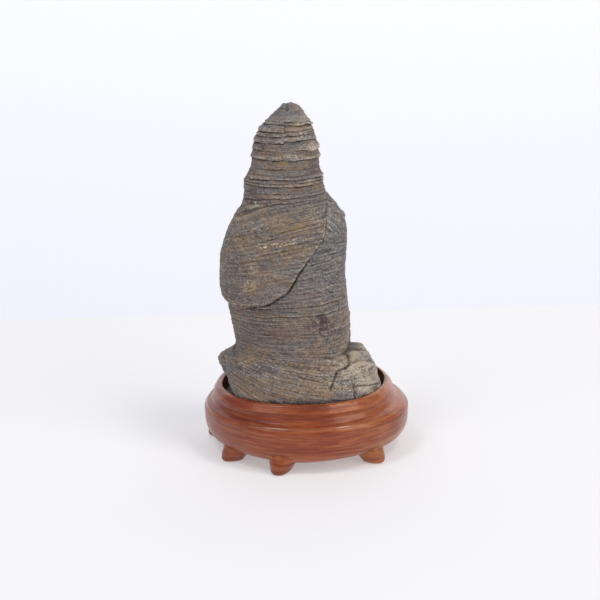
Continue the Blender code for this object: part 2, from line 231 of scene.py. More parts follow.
def gradient_noise(places: Array, seed: int) -> Array:
    """Smooth noise of about -1 to 1, one unit from bump to bump.

    Args:
        places: an array whose last axis holds x, y and z.
        seed: picks another pattern.

    Returns:
        The noise at each place.
    """
    cell = np.floor(places).astype(np.int64)
    inside = places - cell
    share = inside**3 * (inside * (inside * 6.0 - 15.0) + 10.0)
    total = np.zeros(places.shape[:-1])
    for corner in itertools.product((0, 1), repeat=3):
        mixed = ((cell + corner) * HASH_STEPS).sum(axis=-1) + seed * HASH_SEED
        mixed = (mixed ^ (mixed >> 13)) * HASH_MIX
        mixed = mixed ^ (mixed >> 16)
        slope = np.stack([(mixed >> shift) & HASH_BITS for shift in (0, 10, 20)], axis=-1)
        weight = np.where(corner, share, 1.0 - share).prod(axis=-1)
        total += weight * ((slope * 2.0 / HASH_BITS - 1.0) * (inside - corner)).sum(axis=-1)
    return NOISE_GAIN * total


@dataclass(frozen=True)
class Rough:
    """Noise of several sizes, each half as large and half as strong as the one before: how strong
    the largest bumps are, their size across and upwards in millimetres, which pattern it is, and
    how many sizes are summed."""

    amount: float
    across: float
    up: float
    seed: int
    sizes: int = 1

    def at(self, places: Array) -> Array:
        """The noise at points whose last axis holds x, y and height, in millimetres."""
        scaled = places / np.array((self.across, self.across, self.up))
        return self.amount * sum(
            gradient_noise(scaled * 2.0**k, self.seed + k) * 0.5**k for k in range(self.sizes)
        )


def ringed_mesh(name: str, rings: Array, top: Point, bottom: Point) -> bpy.types.Mesh:
    """Closed mesh of rings from the top down, with a fan of faces at each end.

    Args:
        name: the mesh's name.
        rings: an array of rings, points and coordinates, in millimetres.
        top: the point over the first ring.
        bottom: the point under the last ring.

    Returns:
        The mesh, in metres, shaded smooth.
    """
    count, sides = rings.shape[:2]
    points = np.concatenate((rings.reshape(-1, 3), [top, bottom])) * MM
    ring, side = np.meshgrid(np.arange(count - 1), np.arange(sides), indexing="ij")
    here, there = ring * sides + side, ring * sides + (side + 1) % sides
    quads = np.stack((here, here + sides, there + sides, there), axis=-1).reshape(-1, 4)
    first, after = np.arange(sides), (np.arange(sides) + 1) % sides
    peak, base, last = count * sides, count * sides + 1, (count - 1) * sides
    faces = quads.tolist()
    faces += [(peak, int(a), int(b)) for a, b in zip(first, after)]
    faces += [(base, int(last + b), int(last + a)) for a, b in zip(first, after)]
    mesh = bpy.data.meshes.new(name)
    mesh.from_pydata(points.tolist(), [], faces)
    mesh.shade_smooth()
    return mesh


def store_trait(mesh: bpy.types.Mesh, trait: Trait, values: Array) -> None:
    """Writes one trait of every vertex for the material to read.

    Args:
        mesh: the mesh that the material is on.
        trait: which trait it is.
        values: one number or one vector a vertex.
    """
    kind, field = ("FLOAT", "value") if values.ndim == 1 else ("FLOAT_VECTOR", "vector")
    attribute = mesh.attributes.new(trait.value, kind, "POINT")
    attribute.data.foreach_set(field, values.astype(np.float32).ravel())


def new_object(name: str, mesh: bpy.types.Mesh) -> bpy.types.Object:
    """Object with this mesh, linked to the scene."""
    obj = bpy.data.objects.new(name, mesh)
    bpy.context.scene.collection.objects.link(obj)
    return obj


# ---------------------------------------------------------------- the stone's large form


@dataclass(frozen=True)
class Oval:
    """A level outline: its height, how far it reaches each way, and how square it is."""

    height: float
    left: float
    right: float
    front: float
    back: float
    squareness: float


@dataclass(frozen=True)
class RobeHem:
    """A point of the lower edge of the layer that hangs like a robe."""

    azimuth: float
    height: float
    thickness: float
    turn_under: float  # over what distance the edge curves inwards
    cleft: float  # depth of the crack under the edge


@dataclass(frozen=True)
class BaseShelf:
    """A point of the edge at which the base swells out, and the height it takes to do so."""

    azimuth: float
    height: float
    fall: float


@dataclass(frozen=True)
class BlockSide:
    """A flat side of the block: where it faces, and its distance from the block's middle."""

    azimuth: float
    elevation: float
    distance: float


@dataclass(frozen=True)
class OvalStack:
    """Level outlines round one upright axis, joined by smooth curves."""

    axis: Pair
    ovals: tuple[Oval, ...]

    def radius(self, azimuth: Array, height: Array) -> Array:
        """Distance from the axis to the surface.

        Args:
            azimuth: directions seen from the axis.
            height: heights above the table.

        Returns:
            The distances.
        """
        left, right, front, back, power = (
            through(measures(self.ovals, "height", name), height)
            for name in ("left", "right", "front", "back", "squareness")
        )
        across, along = heading(azimuth)
        half_x = np.where(across > 0, right - self.axis[0], self.axis[0] - left)
        half_y = np.where(along > 0, back - self.axis[1], self.axis[1] - front)
        ratio = np.abs(across / half_x) ** power + np.abs(along / half_y) ** power
        return ratio ** (-1.0 / power)


@dataclass(frozen=True)
class LeaningBlock:
    """The pale block that leans on the lower right, cut by flat sides."""

    middle: Point = (22.0, -8.0, 42.0)
    sides: tuple[BlockSide, ...] = table(
        BlockSide,
        (-6, 10, 14.3),
        (-10, 47, 12.2),
        (-32, 10, 14.6),
        (-62, 12, 16),
        (-98, 14, 20),
        (-45, 62, 12),
        (0, 90, 10.8),
        (38, 8, 11),
        (85, 20, 12),
    )
    azimuth: float = -20.0
    spread: float = 72.0
    rounding: float = 0.8
    far: float = 200.0
    least_facing: float = 0.02

    def radius(self, axis: Pair, azimuth: Array, height: Array) -> Array:
        """Distance from the stone's axis to the block's sides, or 0 where there is no block.

        Args:
            axis: the stone's upright axis.
            azimuth: directions seen from the axis.
            height: heights above the table.

        Returns:
            The distances.
        """
        across, along = heading(azimuth)
        reaches = []
        for side in self.sides:
            turn, lift = math.radians(side.azimuth), math.radians(side.elevation)
            normal_x, normal_y = math.cos(turn) * math.cos(lift), math.sin(turn) * math.cos(lift)
            start = (
                normal_x * (self.middle[0] - axis[0])
                + normal_y * (self.middle[1] - axis[1])
                + math.sin(lift) * (self.middle[2] - height)
                + side.distance
            )
            facing = normal_x * across + normal_y * along
            no_limit = np.where(start > 0.0, self.far, 0.0)
            reach = start / np.maximum(facing, self.least_facing)
            reaches.append(np.where(facing > self.least_facing, reach, no_limit))
        nearest = np.maximum(soft_min(np.array(reaches), self.rounding), 0.0)
        aside = np.abs(turn_between(azimuth, self.azimuth))
        return np.where(aside < self.spread, nearest, 0.0)


@dataclass(frozen=True)
class Skin:
    """Places on the stone, by ring and column: azimuth as seen from its axis, height above the
    table, and distance from the axis."""

    axis: Pair
    azimuth: Array
    height: Array
    radius: Array

    @cached_property
    def points(self) -> Array:
        """The places as points, in millimetres."""
        across, along = heading(self.azimuth)
        x, y = self.axis[0] + self.radius * across, self.axis[1] + self.radius * along
        return stacked(x, y, self.height)


@dataclass
class StoneForm:
    """Large form of the stone: body, robe, base and block, as distances from an upright axis."""

    axis: Pair = (-6.0, -1.0)
    foot: float = 27.3
    top: float = 175.2
    neck: float = 134.0
    body: tuple[Oval, ...] = table(
        Oval,
        (27.3, -34, 25, -30, 27, 2.5),
        (44, -35, 23.6, -28.5, 27, 2.5),
        (57, -33.6, 22.6, -27, 26.5, 2.4),
        (66, -35.4, 22.1, -26, 26, 2.4),
        (76, -37.6, 21.9, -25.2, 25, 2.4),
        (92, -38.2, 21.2, -24.4, 24, 2.4),
        (106, -36.2, 21.6, -22.4, 22.5, 2.4),
        (118.8, -31.8, 20.3, -18.6, 19.5, 2.4),
        (125, -28.4, 17, -16, 16.5, 2.2),
        (131, -27.2, 12.6, -14.2, 13.8, 2.1),
        (137, -26.8, 10.9, -13.2, 12.6, 2),
        (140, -25.4, 9.9, -12.6, 11.9, 2),
        (146, -23.6, 9.2, -11.9, 11.2, 2),
        (154, -23.3, 8.9, -11.2, 10.4, 2),
        (158.5, -22.2, 8, -10.6, 9.8, 2),
        (163.5, -18.6, 7.2, -9.6, 8.6, 2),
        (169.4, -12.9, 2.9, -6.6, 5.8, 2),
        (173, -9.4, 0.8, -4, 3, 2),
        (175.2, -7.6, -2.6, -2.2, 0.8, 2),
    )
    base: tuple[Oval, ...] = table(
        Oval,
        (27.3, -37, 34, -32, 31.5, 2.6),
        (34, -38.9, 35, -33.6, 33, 2.6),
        (39, -39.9, 32.6, -32.8, 32.4, 2.5),
        (44, -41.9, 30.2, -31.9, 31.6, 2.4),
        (48.5, -43.7, 29, -31.4, 31, 2.4),
        (60, -43.6, 26, -30, 29.5, 2.4),
    )
    tuck: float = 1.2
    tuck_height: float = 34.0
    shelf: tuple[BaseShelf, ...] = table(
        BaseShelf,
        (0, 46, 6),
        (40, 50, 6),
        (90, 52, 5),
        (130, 49, 7),
        (157, 50, 7),
        (180, 55, 8.5),
        (205, 56, 9),
        (225, 57, 10),
        (250, 57, 13),
        (270, 54, 14),
        (287, 51.5, 13),
        (310, 48, 11),
    )
    hem: tuple[RobeHem, ...] = table(
        RobeHem,
        (0, 131, 1.2, 0.8, 0.4),
        (30, 126, 1.6, 0.8, 1),
        (60, 116, 2.2, 0.8, 1.3),
        (90, 105, 2.6, 0.9, 1.3),
        (120, 93, 2.8, 1.2, 0.9),
        (150, 84, 3, 2.5, 0.6),
        (180, 79.5, 3.2, 6, 0.2),
        (212, 77.5, 3, 5, 0.25),
        (224, 79, 2.8, 3.4, 0.5),
        (236, 80.4, 2.6, 2.2, 0.8),
        (247.3, 82.2, 2.5, 1.6, 0.9),
        (258.8, 85.5, 2.3, 1.1, 0.6),
        (264.6, 87.2, 2.1, 0.9, 0.5),
        (270.8, 90.7, 1.9, 0.7, 1.1),
        (277.6, 95.6, 1.9, 0.6, 1.7),
        (284.6, 99.4, 1.9, 0.6, 1.9),
        (291, 102.4, 1.9, 0.6, 2),
        (297.4, 105, 1.8, 0.6, 1.6),
        (303.8, 108.6, 1.7, 0.6, 0.9),
        (310.4, 111.6, 1.6, 0.6, 1.2),
        (315.5, 116.4, 1.5, 0.6, 1.5),
        (320.3, 120.9, 1.5, 0.6, 1.8),
        (328, 124.3, 1.4, 0.6, 1.7),
        (337.4, 127.4, 1.3, 0.7, 1.2),
        (348.2, 129.8, 1.3, 0.8, 0.7),
    )
    hem_fade: float = 22.0  # below the neck, over what height the robe reaches its thickness
    hem_break: Rough = Rough(0.4, 5.0, 5.0, 11, 3)  # how the broken edge strays from its curve
    hem_ring: float = 28.0  # radius of the ring on which that pattern is read
    hem_step: float = 2.0  # degrees over which the edge's slope is measured
    robe_start: float = 0.3  # share of the turn under that lies above the edge
    cleft_place: float = -0.5  # of the crack, from the edge
    cleft_fade: float = 5.0  # below the neck, over what height the crack opens
    cleft_width: float = 0.24
    cleft_widening: float = 0.14  # width that the crack gains for each millimetre of its depth
    slab_drop: float = 8.0  # near the neck the slab lies under the robe over this distance
    slab_front: Bell = Bell(325.0, 22.0)
    block: LeaningBlock = LeaningBlock()
    block_rounding: float = 0.5
    block_merge: float = 7.0  # at its left the block runs smoothly into the base
    block_left: Bell = Bell(296.0, 20.0)
    swells: tuple[Pair, ...] = ((24.0, 1.5), (10.0, 0.7), (4.5, 0.3))  # size and amount
    swell_top: Step = Step(175.2, -12.0)
    swell_foot: Step = Step(27.3, 6.0)

    def hem_curve(self, name: str, azimuth: Array) -> Array:
        """One measure of the robe's edge, by azimuth."""
        return through(measures(self.hem, "azimuth", name), azimuth, FULL_TURN)

    def hem_height(self, azimuth: Array) -> Array:
        """Height of the robe's broken edge, by azimuth."""
        ring = stacked(*heading(azimuth), 0.0) * self.hem_ring
        return self.hem_curve("height", azimuth) + self.hem_break.at(ring)

    def above_hem(self, skin: Skin) -> Array:
        """Distance over the surface from the robe's edge, positive on the robe."""
        here = self.hem_curve("height", skin.azimuth)
        nearby = self.hem_curve("height", skin.azimuth + self.hem_step)
        slope = (nearby - here) / (math.radians(self.hem_step) * skin.radius)
        return (skin.height - self.hem_height(skin.azimuth)) / np.sqrt(1.0 + slope * slope)

    def cleft_depth(self, skin: Skin, above: Array) -> Array:
        """Depth of the crack under the robe's edge, at these distances above the edge."""
        depth = self.hem_curve("cleft", skin.azimuth)
        width = self.cleft_width + self.cleft_widening * depth
        opening = ease((self.neck - skin.height) / self.cleft_fade)
        return depth * opening * bell(above - self.cleft_place, width)

    def swell(self, skin: Skin) -> Array:
        """Low, irregular bumps all over the stone."""
        places = skin.points.reshape(-1, 3).tolist()
        total = np.zeros(len(places))
        for size, amount in self.swells:
            total += amount * np.array([noise.noise(Vector(place) / size) for place in places])
        return total.reshape(skin.height.shape)

    def robed(self, body: Skin) -> Array:
        """Distances from the axis to the body with the robe that hangs on it."""
        above = self.above_hem(body)
        below_neck = ease((self.neck - body.height) / self.hem_fade)
        thickness = self.hem_curve("thickness", body.azimuth)
        on_robe = ease(above / self.hem_curve("turn_under", body.azimuth) + self.robe_start)
        near_hem = ease(1.0 + above / self.slab_drop) * (1.0 - on_robe)
        slab = (1.0 - below_neck) * near_hem * self.slab_front.round_at(body.azimuth)
        robe = thickness * (below_neck * on_robe - slab)
        return body.radius + robe - self.cleft_depth(body, above)

    def skin(self, azimuth: Array, height: Array) -> Skin:
        """Works out the stone's surface, without its fine relief.

        Args:
            azimuth: directions seen from the axis.
            height: heights above the table.

        Returns:
            The places in those directions and at those heights.
        """
        body = OvalStack(self.axis, self.body).radius(azimuth, height)
        radius = self.robed(Skin(self.axis, azimuth, height, body))
        shelf_top, fall = (
            through(measures(self.shelf, "azimuth", name), azimuth, FULL_TURN)
            for name in ("height", "fall")
        )
        base = OvalStack(self.axis, self.base).radius(azimuth, height)
        radius = blend(radius, base, ease((shelf_top - height) / fall))
        block = self.block.radius(self.axis, azimuth, height)
        rounding = self.block_rounding + self.block_merge * self.block_left.round_at(azimuth)
        radius = soft_max(radius, block, rounding)
        radius -= self.tuck * ease((self.tuck_height - height) / (self.tuck_height - self.foot))
        swell = self.swell(Skin(self.axis, azimuth, height, radius))
        fade = self.swell_top.at(height) * self.swell_foot.at(height)
        return Skin(self.axis, azimuth, height, radius + swell * fade)


# ---------------------------------------------------------------- the stone's relief


@dataclass(frozen=True)
class Ledge:
    """A bed of the head: the height of its lower lip to the left and to the right of the fault,
    its thickness, and how far it stands out at each of the stations round the head."""

    left: float
    right: float
    taper: float
    reach: tuple[float, float, float, float, float, float]


@dataclass(frozen=True)
class Crack:
    """A crack, hollow or ridge (of a negative depth) along azimuths and heights: its depth, its
    half width and how much painted shade lies inside it."""

    depth: float
    width: float
    shade: float
    line: tuple[Pair, ...]

    def distance(self, skin: Skin) -> Array:
        """Distance over the surface from each place to the crack's line."""
        nearest = np.full(skin.height.shape, np.inf)
        for (turn_a, level_a), (turn_b, level_b) in zip(self.line, self.line[1:]):
            start = np.radians(turn_between(skin.azimuth, turn_a)) * skin.radius
            end = math.radians(turn_b - turn_a) * skin.radius
            up, rise = skin.height - level_a, level_b - level_a
            share = np.clip((start * end + up * rise) / (end * end + rise * rise), 0.0, 1.0)
            nearest = np.minimum(nearest, np.hypot(start - share * end, up - share * rise))
        return nearest


@dataclass(frozen=True)
class BedSet:
    """Thin beds of one thickness, each fading in and out along its run: their thickness, how far
    they stand out, and their pattern."""

    thickness: float
    depth: float
    seed: int
    wander: float = 0.45  # of the beds' faces, as a share of the thickness
    wander_length: float = 2.6  # in beds
    own_step: float = 7.31  # between the places in the noise at which neighbouring beds are read
    own: Pair = (0.6, 0.8)  # a bed's own strength: its middle and how far it varies
    own_limits: Pair = (0.15, 1.2)
    fading: Pair = (0.7, 0.9)  # its strength along its run
    fading_limits: Pair = (0.0, 1.3)
    run: float = 26.0  # length over which a bed fades in and out
    run_thickness: float = 1.4  # in beds
    shoulder: float = 2.4  # how quickly a bed falls back above its lip
    middle: float = 0.3  # level from which the lips stand out and the rest stands back
    undercut: float = 0.8
    undercut_below: float = 0.22  # width of the undercut below a lip, and above it
    undercut_above: float = 0.16

    def relief(self, level: Array, flat: Array) -> tuple[Array, Array]:
        """Relief of these beds.

        Args:
            level: height as the beds count it.
            flat: the places with their heights as the beds count them.

        Returns:
            How far the surface stands out, and how deep it lies in the shade under a lip.
        """
        column = stacked(0.0, 0.0, level / (self.wander_length * self.thickness))
        count = level / self.thickness + self.wander * gradient_noise(column, self.seed)
        bed = np.floor(count)
        up = count - bed
        column = stacked(0.0, 0.0, bed * self.own_step) + 0.5
        own = self.own[0] + self.own[1] * gradient_noise(column, self.seed + 1)
        run_height = self.run_thickness * self.thickness
        runs = Rough(self.fading[1], self.run, run_height, self.seed + 2, 2)
        fading = np.clip(self.fading[0] + runs.at(flat), *self.fading_limits)
        strength = self.depth * np.clip(own, *self.own_limits) * fading
        below = bell((1.0 - up) * self.thickness, self.undercut_below)
        undercut = below + bell(up * self.thickness, self.undercut_above)
        lip = np.exp(-up * self.shoulder) - self.middle - self.undercut * undercut
        return strength * lip, strength * undercut


@dataclass
class StoneRelief:
    """Fine relief of the stone: ledges, thin beds, cracks, pits and grains."""

    form: StoneForm
    stations: tuple[float, ...] = (10.0, 100.0, 190.0, 235.0, 285.0, 335.0)
    ledges: tuple[Ledge, ...] = table(
        Ledge,
        (166, 167.1, 0.8, (0.5, 0.7, 0.8, 0.8, 0.6, 0.5)),
        (164.4, 165.6, 0.9, (1.7, 0.8, 0.3, 0.1, 1.1, 2)),
        (162.6, 162.9, 1.1, (0.1, 0.5, 2, 1.1, 0.4, 0.2)),
        (160.4, 160.9, 0.8, (0.1, 0.4, 0.8, 0.9, 0.7, 0.3)),
        (157.4, 158.4, 1, (1, 0.8, 1.4, 1, 1.2, 0.9)),
        (153.8, 153.9, 2, (2, 1.2, 1.2, 0.15, 0.05, 1.9)),
        (149.6, 149.3, 1.8, (1.1, 1.2, 1.1, 0.9, 1.05, 1.1)),
        (145.3, 145, 0.7, (0.2, 0.5, 0.1, 0.5, 0.2, 0.1)),
        (142.3, 142, 0.7, (0.2, 0.3, 0.1, 0.2, 0.1, 0.1)),
        (140.1, 140.2, 0.8, (0.9, 0.9, 1.3, 0.8, 0.5, 1.1)),
        (138.2, 138.5, 0.6, (1.1, 0.7, 0.9, 0.4, 0.6, 1.3)),
        (136.9, 136.9, 0.8, (0.7, 0.9, 0.6, 0.9, 1.1, 0.8)),
        (133.6, 133.2, 0.9, (0.3, 0.4, 0.3, 0.2, 0.15, 0.2)),
    )
    fault_azimuth: float = 262.0
    fault: Step = Step(-1.5, 3.0)  # degrees from the fault
    fault_end: Step = Step(120.0, -60.0)
    lip_wander: Rough = Rough(0.3, 6.0, 9.0, 7, 2)
    lip_edge: Step = Step(-0.15, 0.3)
    undercut: Bell = Bell(-0.36, 0.3)
    undercut_depth: float = 0.6
    chips: Rough = Rough(0.9, 3.6, 30.0, 50, 2)  # in the first lip; each lip has its own
    chip_middle: float = 0.85
    chip_limits: Pair = (0.1, 1.4)
    # height, and how steeply the thin beds lie there
    bed_tilts: tuple[Pair, ...] = (
        (30, -0.30),
        (45, -0.28),
        (60, -0.05),
        (80, 0.04),
        (100, 0.16),
        (120, 0.27),
        (133, 0),
    )
    level_x: float = -10.0
    tilt_reach: Pair = (-30.0, 34.0)
    tilt_bend: float = 0.0145  # per mm, how much flatter the beds lie towards the right
    # height, and how strongly the thin beds show there
    bed_strengths: tuple[Pair, ...] = (
        (28, 0.35),
        (40, 0.5),
        (52, 0.8),
        (62, 0.8),
        (78, 0.8),
        (90, 0.3),
        (104, 0.5),
        (114, 1.1),
        (128, 0.9),
        (137, 0.3),
    )
    bed_sets: tuple[BedSet, ...] = table(
        BedSet,
        (4.4, 0.4, 21),
        (2.15, 0.55, 31),
        (1.1, 0.24, 41),
    )
    slab_beds: float = 0.3  # share of the beds' relief that the granular slab keeps
    shoulder_dip: float = 1.1  # the slab's beds fall to the right by this much at its shoulder
    shoulder: Step = Step(108.0, 6.0)
    shoulder_x: float = 12.0
    waves: tuple[Rough, Rough] = (Rough(0.8, 22.0, 22.0, 3), Rough(0.2, 6.0, 6.0, 5))
    head_waves: float = 0.25  # share of the waves that the head keeps
    head_edge: Step = Step(136.0, -8.0)
    cracks: tuple[Crack, ...] = table(
        Crack,
        (0.7, 2.4, 0.1, ((198, 47), (212, 48.5), (232, 49.6), (252, 48.8))),
        (0.9, 2.8, 0.14, ((303, 74), (303.5, 68))),
        (-0.35, 0.9, 0, ((297.5, 72), (297, 66), (299, 61))),
        (1.1, 1.6, 0.3, ((72, 118), (80, 96), (70, 72), (78, 52))),
        (0.9, 1.8, 0.2, ((140, 74), (128, 62), (120, 46))),
        (0.8, 0.5, 0.6, ((333, 53.9), (324, 50.6), (317, 48.4))),
        (1.3, 0.45, 1, ((321, 49.6), (317, 48.4), (311, 47.2))),
        (1.1, 0.4, 0.9, ((309.5, 46.4), (308, 44.7), (304, 41.3), (301, 39))),
        (0.9, 0.55, 0.9, ((318.5, 40.2), (317.5, 37.5), (316, 34))),
        (0.6, 0.4, 0.7, ((319.5, 39.4), (330, 38), (343, 35.8))),
        (0.7, 0.4, 0.9, ((349, 54.1), (346, 52.2), (351, 50.6))),
        (0.5, 0.5, 0.4, ((346, 52.2), (338, 53.1))),
        (0.5, 0.6, 0.5, ((335, 49), (343, 47.6), (343, 44.6), (334, 44.8))),
        (0.4, 0.35, 0.5, ((277, 45.6), (285, 44.4), (296, 42.6))),
        (0.3, 0.3, 0.3, ((262, 49.6), (277, 45.6))),
        (0.5, 0.4, 0.5, ((325.5, 79.6), (326, 77.2), (324, 74.8))),
        (0.3, 0.5, 0.15, ((308, 73.3), (308.5, 66), (307, 59.6))),
        (0.6, 0.45, 0.7, ((344, 128.6), (354, 125.4), (363, 121.6))),
        (0.4, 0.35, 0.4, ((338, 122.6), (348, 120.6), (356, 116))),
        (-0.9, 1.3, 0, ((352, 120), (362, 119.6))),
        (-0.5, 1, 0, ((350, 126), (364, 124.2))),
        (0.3, 0.5, 0.15, ((263.5, 168), (262.5, 164.6), (263, 160.4))),
        (0.5, 0.5, 0.6, ((198, 127.9), (206, 128.5), (211, 128))),
        (0.5, 0.4, 0.5, ((20, 96), (28, 84), (24, 70), (33, 60))),
        (0.6, 0.45, 0.5, ((160, 60), (150, 52), (156, 42))),
        (0.6, 0.4, 0.5, ((96, 150), (92, 143), (100, 137))),
    )
    crack_edge: Rough = Rough(0.45, 2.4, 2.4, 71, 2)
    crack_margin: float = 0.2  # the edges of a narrow crack stray by its width and this
    crack_depth: Rough = Rough(0.6, 5.0, 5.0, 73)
    streaks: Rough = Rough(0.22, 9.0, 0.9, 81, 2)
    lumps: Rough = Rough(0.22, 4.2, 3.4, 85, 2)
    grit: Rough = Rough(1.0, 1.4, 1.2, 87, 2)
    grit_depth: float = 0.14
    slab_grit: float = 0.12  # more on the granular slab
    pits: Rough = Rough(1.0, 2.6, 1.6, 91)
    pit_edge: Step = Step(0.45, 0.4)
    pit_depth: float = 0.22
    # the summit's two lobes, with a notch between them
    summit: Step = Step(170.5, 3.5)
    notch: Bell = Bell(-5.7, 0.75)
    notch_depth: float = 1.9
    left_lobe: Step = Step(-5.7, -1.5)
    left_drop: float = 0.35
    far_side: Step = Step(0.5, 3.0)
    far_drop: float = 0.9
    facets: Rough = Rough(0.25, 2.2, 2.2, 95, 2)
    all_drop: float = 0.05

    def level(self, skin: Skin, above_hem: Array) -> Array:
        """Height as the beds count it.

        Args:
            skin: places of the smooth surface.
            above_hem: their distances from the robe's edge.

        Returns:
            The height with the beds' tilt and their gentle waves taken out.
        """
        x, height = skin.points[..., 0], skin.height
        wave = sum(waves.at(skin.points) for waves in self.waves)
        dip = self.shoulder_dip * np.maximum(x - self.shoulder_x, 0.0)
        dip = dip * self.shoulder.at(height) * ease(-above_hem)
        aside = np.clip(x - self.level_x, *self.tilt_reach)
        tilt = through(self.bed_tilts, height) * aside * (1.0 - self.tilt_bend * aside)
        return height - tilt + dip - wave * blend(self.head_waves, 1.0, self.head_edge.at(height))

    def head_ledges(self, skin: Skin) -> tuple[Array, Array]:
        """Thin projecting lips of the head, which step at an upright fault.

        Args:
            skin: places of the smooth surface.

        Returns:
            How far the surface stands out, and how deep it lies in the shade under a lip.
        """
        level = skin.height - self.lip_wander.at(skin.points)
        side = turn_between(skin.azimuth, self.fault_azimuth)
        right = self.fault.at(side) * self.fault_end.at(side)
        relief, shade = np.zeros_like(level), np.zeros_like(level)
        for number, ledge in enumerate(self.ledges):
            up = level - blend(ledge.left, ledge.right, right)
            own_chips = replace(self.chips, seed=self.chips.seed + number)
            chips = np.clip(self.chip_middle + own_chips.at(skin.points), *self.chip_limits)
            reach = chips * through(tuple(zip(self.stations, ledge.reach)), skin.azimuth, FULL_TURN)
            cornice = np.exp(-np.maximum(up, 0.0) / ledge.taper) * self.lip_edge.at(up)
            undercut = self.undercut.at(up)
            relief += reach * (cornice - self.undercut_depth * undercut)
            shade += reach * undercut
        return relief, shade

    def thin_beds(self, level: Array, skin: Skin) -> tuple[Array, Array]:
        """Thin beds of the body.

        Args:
            level: height as the beds count it.
            skin: places of the smooth surface.

        Returns:
            How far the surface stands out, and how deep it lies in the shade under a lip.
        """
        flat = self.flat(level, skin)
        shown = through(self.bed_strengths, skin.height)
        relief, shade = zip(*(beds.relief(level, flat) for beds in self.bed_sets))
        return sum(relief) * shown, sum(shade) * shown

    def cracked(self, skin: Skin) -> tuple[Array, Array]:
        """Cracks and hollows with ragged sides.

        Args:
            skin: places of the smooth surface.

        Returns:
            How deep the cracks go, and how dark they are.
        """
        ragged, varied = self.crack_edge.at(skin.points), 1.0 + self.crack_depth.at(skin.points)
        depth, shade = np.zeros_like(skin.height), np.zeros_like(skin.height)
        for crack in self.cracks:
            gap = crack.distance(skin) + ragged * min(1.0, crack.width + self.crack_margin)
            inside = varied * bell(gap, crack.width)
            depth += crack.depth * inside
            shade += crack.shade * inside
        return depth, shade

    def grains(self, level: Array, skin: Skin, on_slab: Array) -> Array:
        """Rough skin: streaks along the beds, lumps, pits and grains.

        Args:
            level: height as the beds count it.
            skin: places of the smooth surface.
            on_slab: 1 on the granular slab, and 0 elsewhere.

        Returns:
            How far the surface stands out.
        """
        grit = (self.grit_depth + self.slab_grit * on_slab) * self.grit.at(skin.points)
        pits = self.pit_depth * self.pit_edge.at(self.pits.at(skin.points))
        return self.streaks.at(self.flat(level, skin)) + self.lumps.at(skin.points) + grit - pits

    def tip_drop(self, points: Array) -> Array:
        """How far the summit is lowered round its two small lobes."""
        x, y, height = points[..., 0], points[..., 1], points[..., 2]
        notch = self.notch_depth * self.notch.at(x)
        sides = self.left_drop * self.left_lobe.at(x) + self.far_drop * self.far_side.at(y)
        return self.summit.at(height) * (notch + sides + self.facets.at(points) + self.all_drop)

    @staticmethod
    def flat(level: Array, skin: Skin) -> Array:
        """The places with their heights as the beds count them."""
        return stacked(skin.points[..., 0], skin.points[..., 1], level)


# ---------------------------------------------------------------- the stone as a piece


@dataclass(frozen=True)
class Stain:
    """A stain: its strength, azimuth, height, half width and half height."""

    strength: float
    azimuth: float
    height: float
    half_width: float
    half_height: float


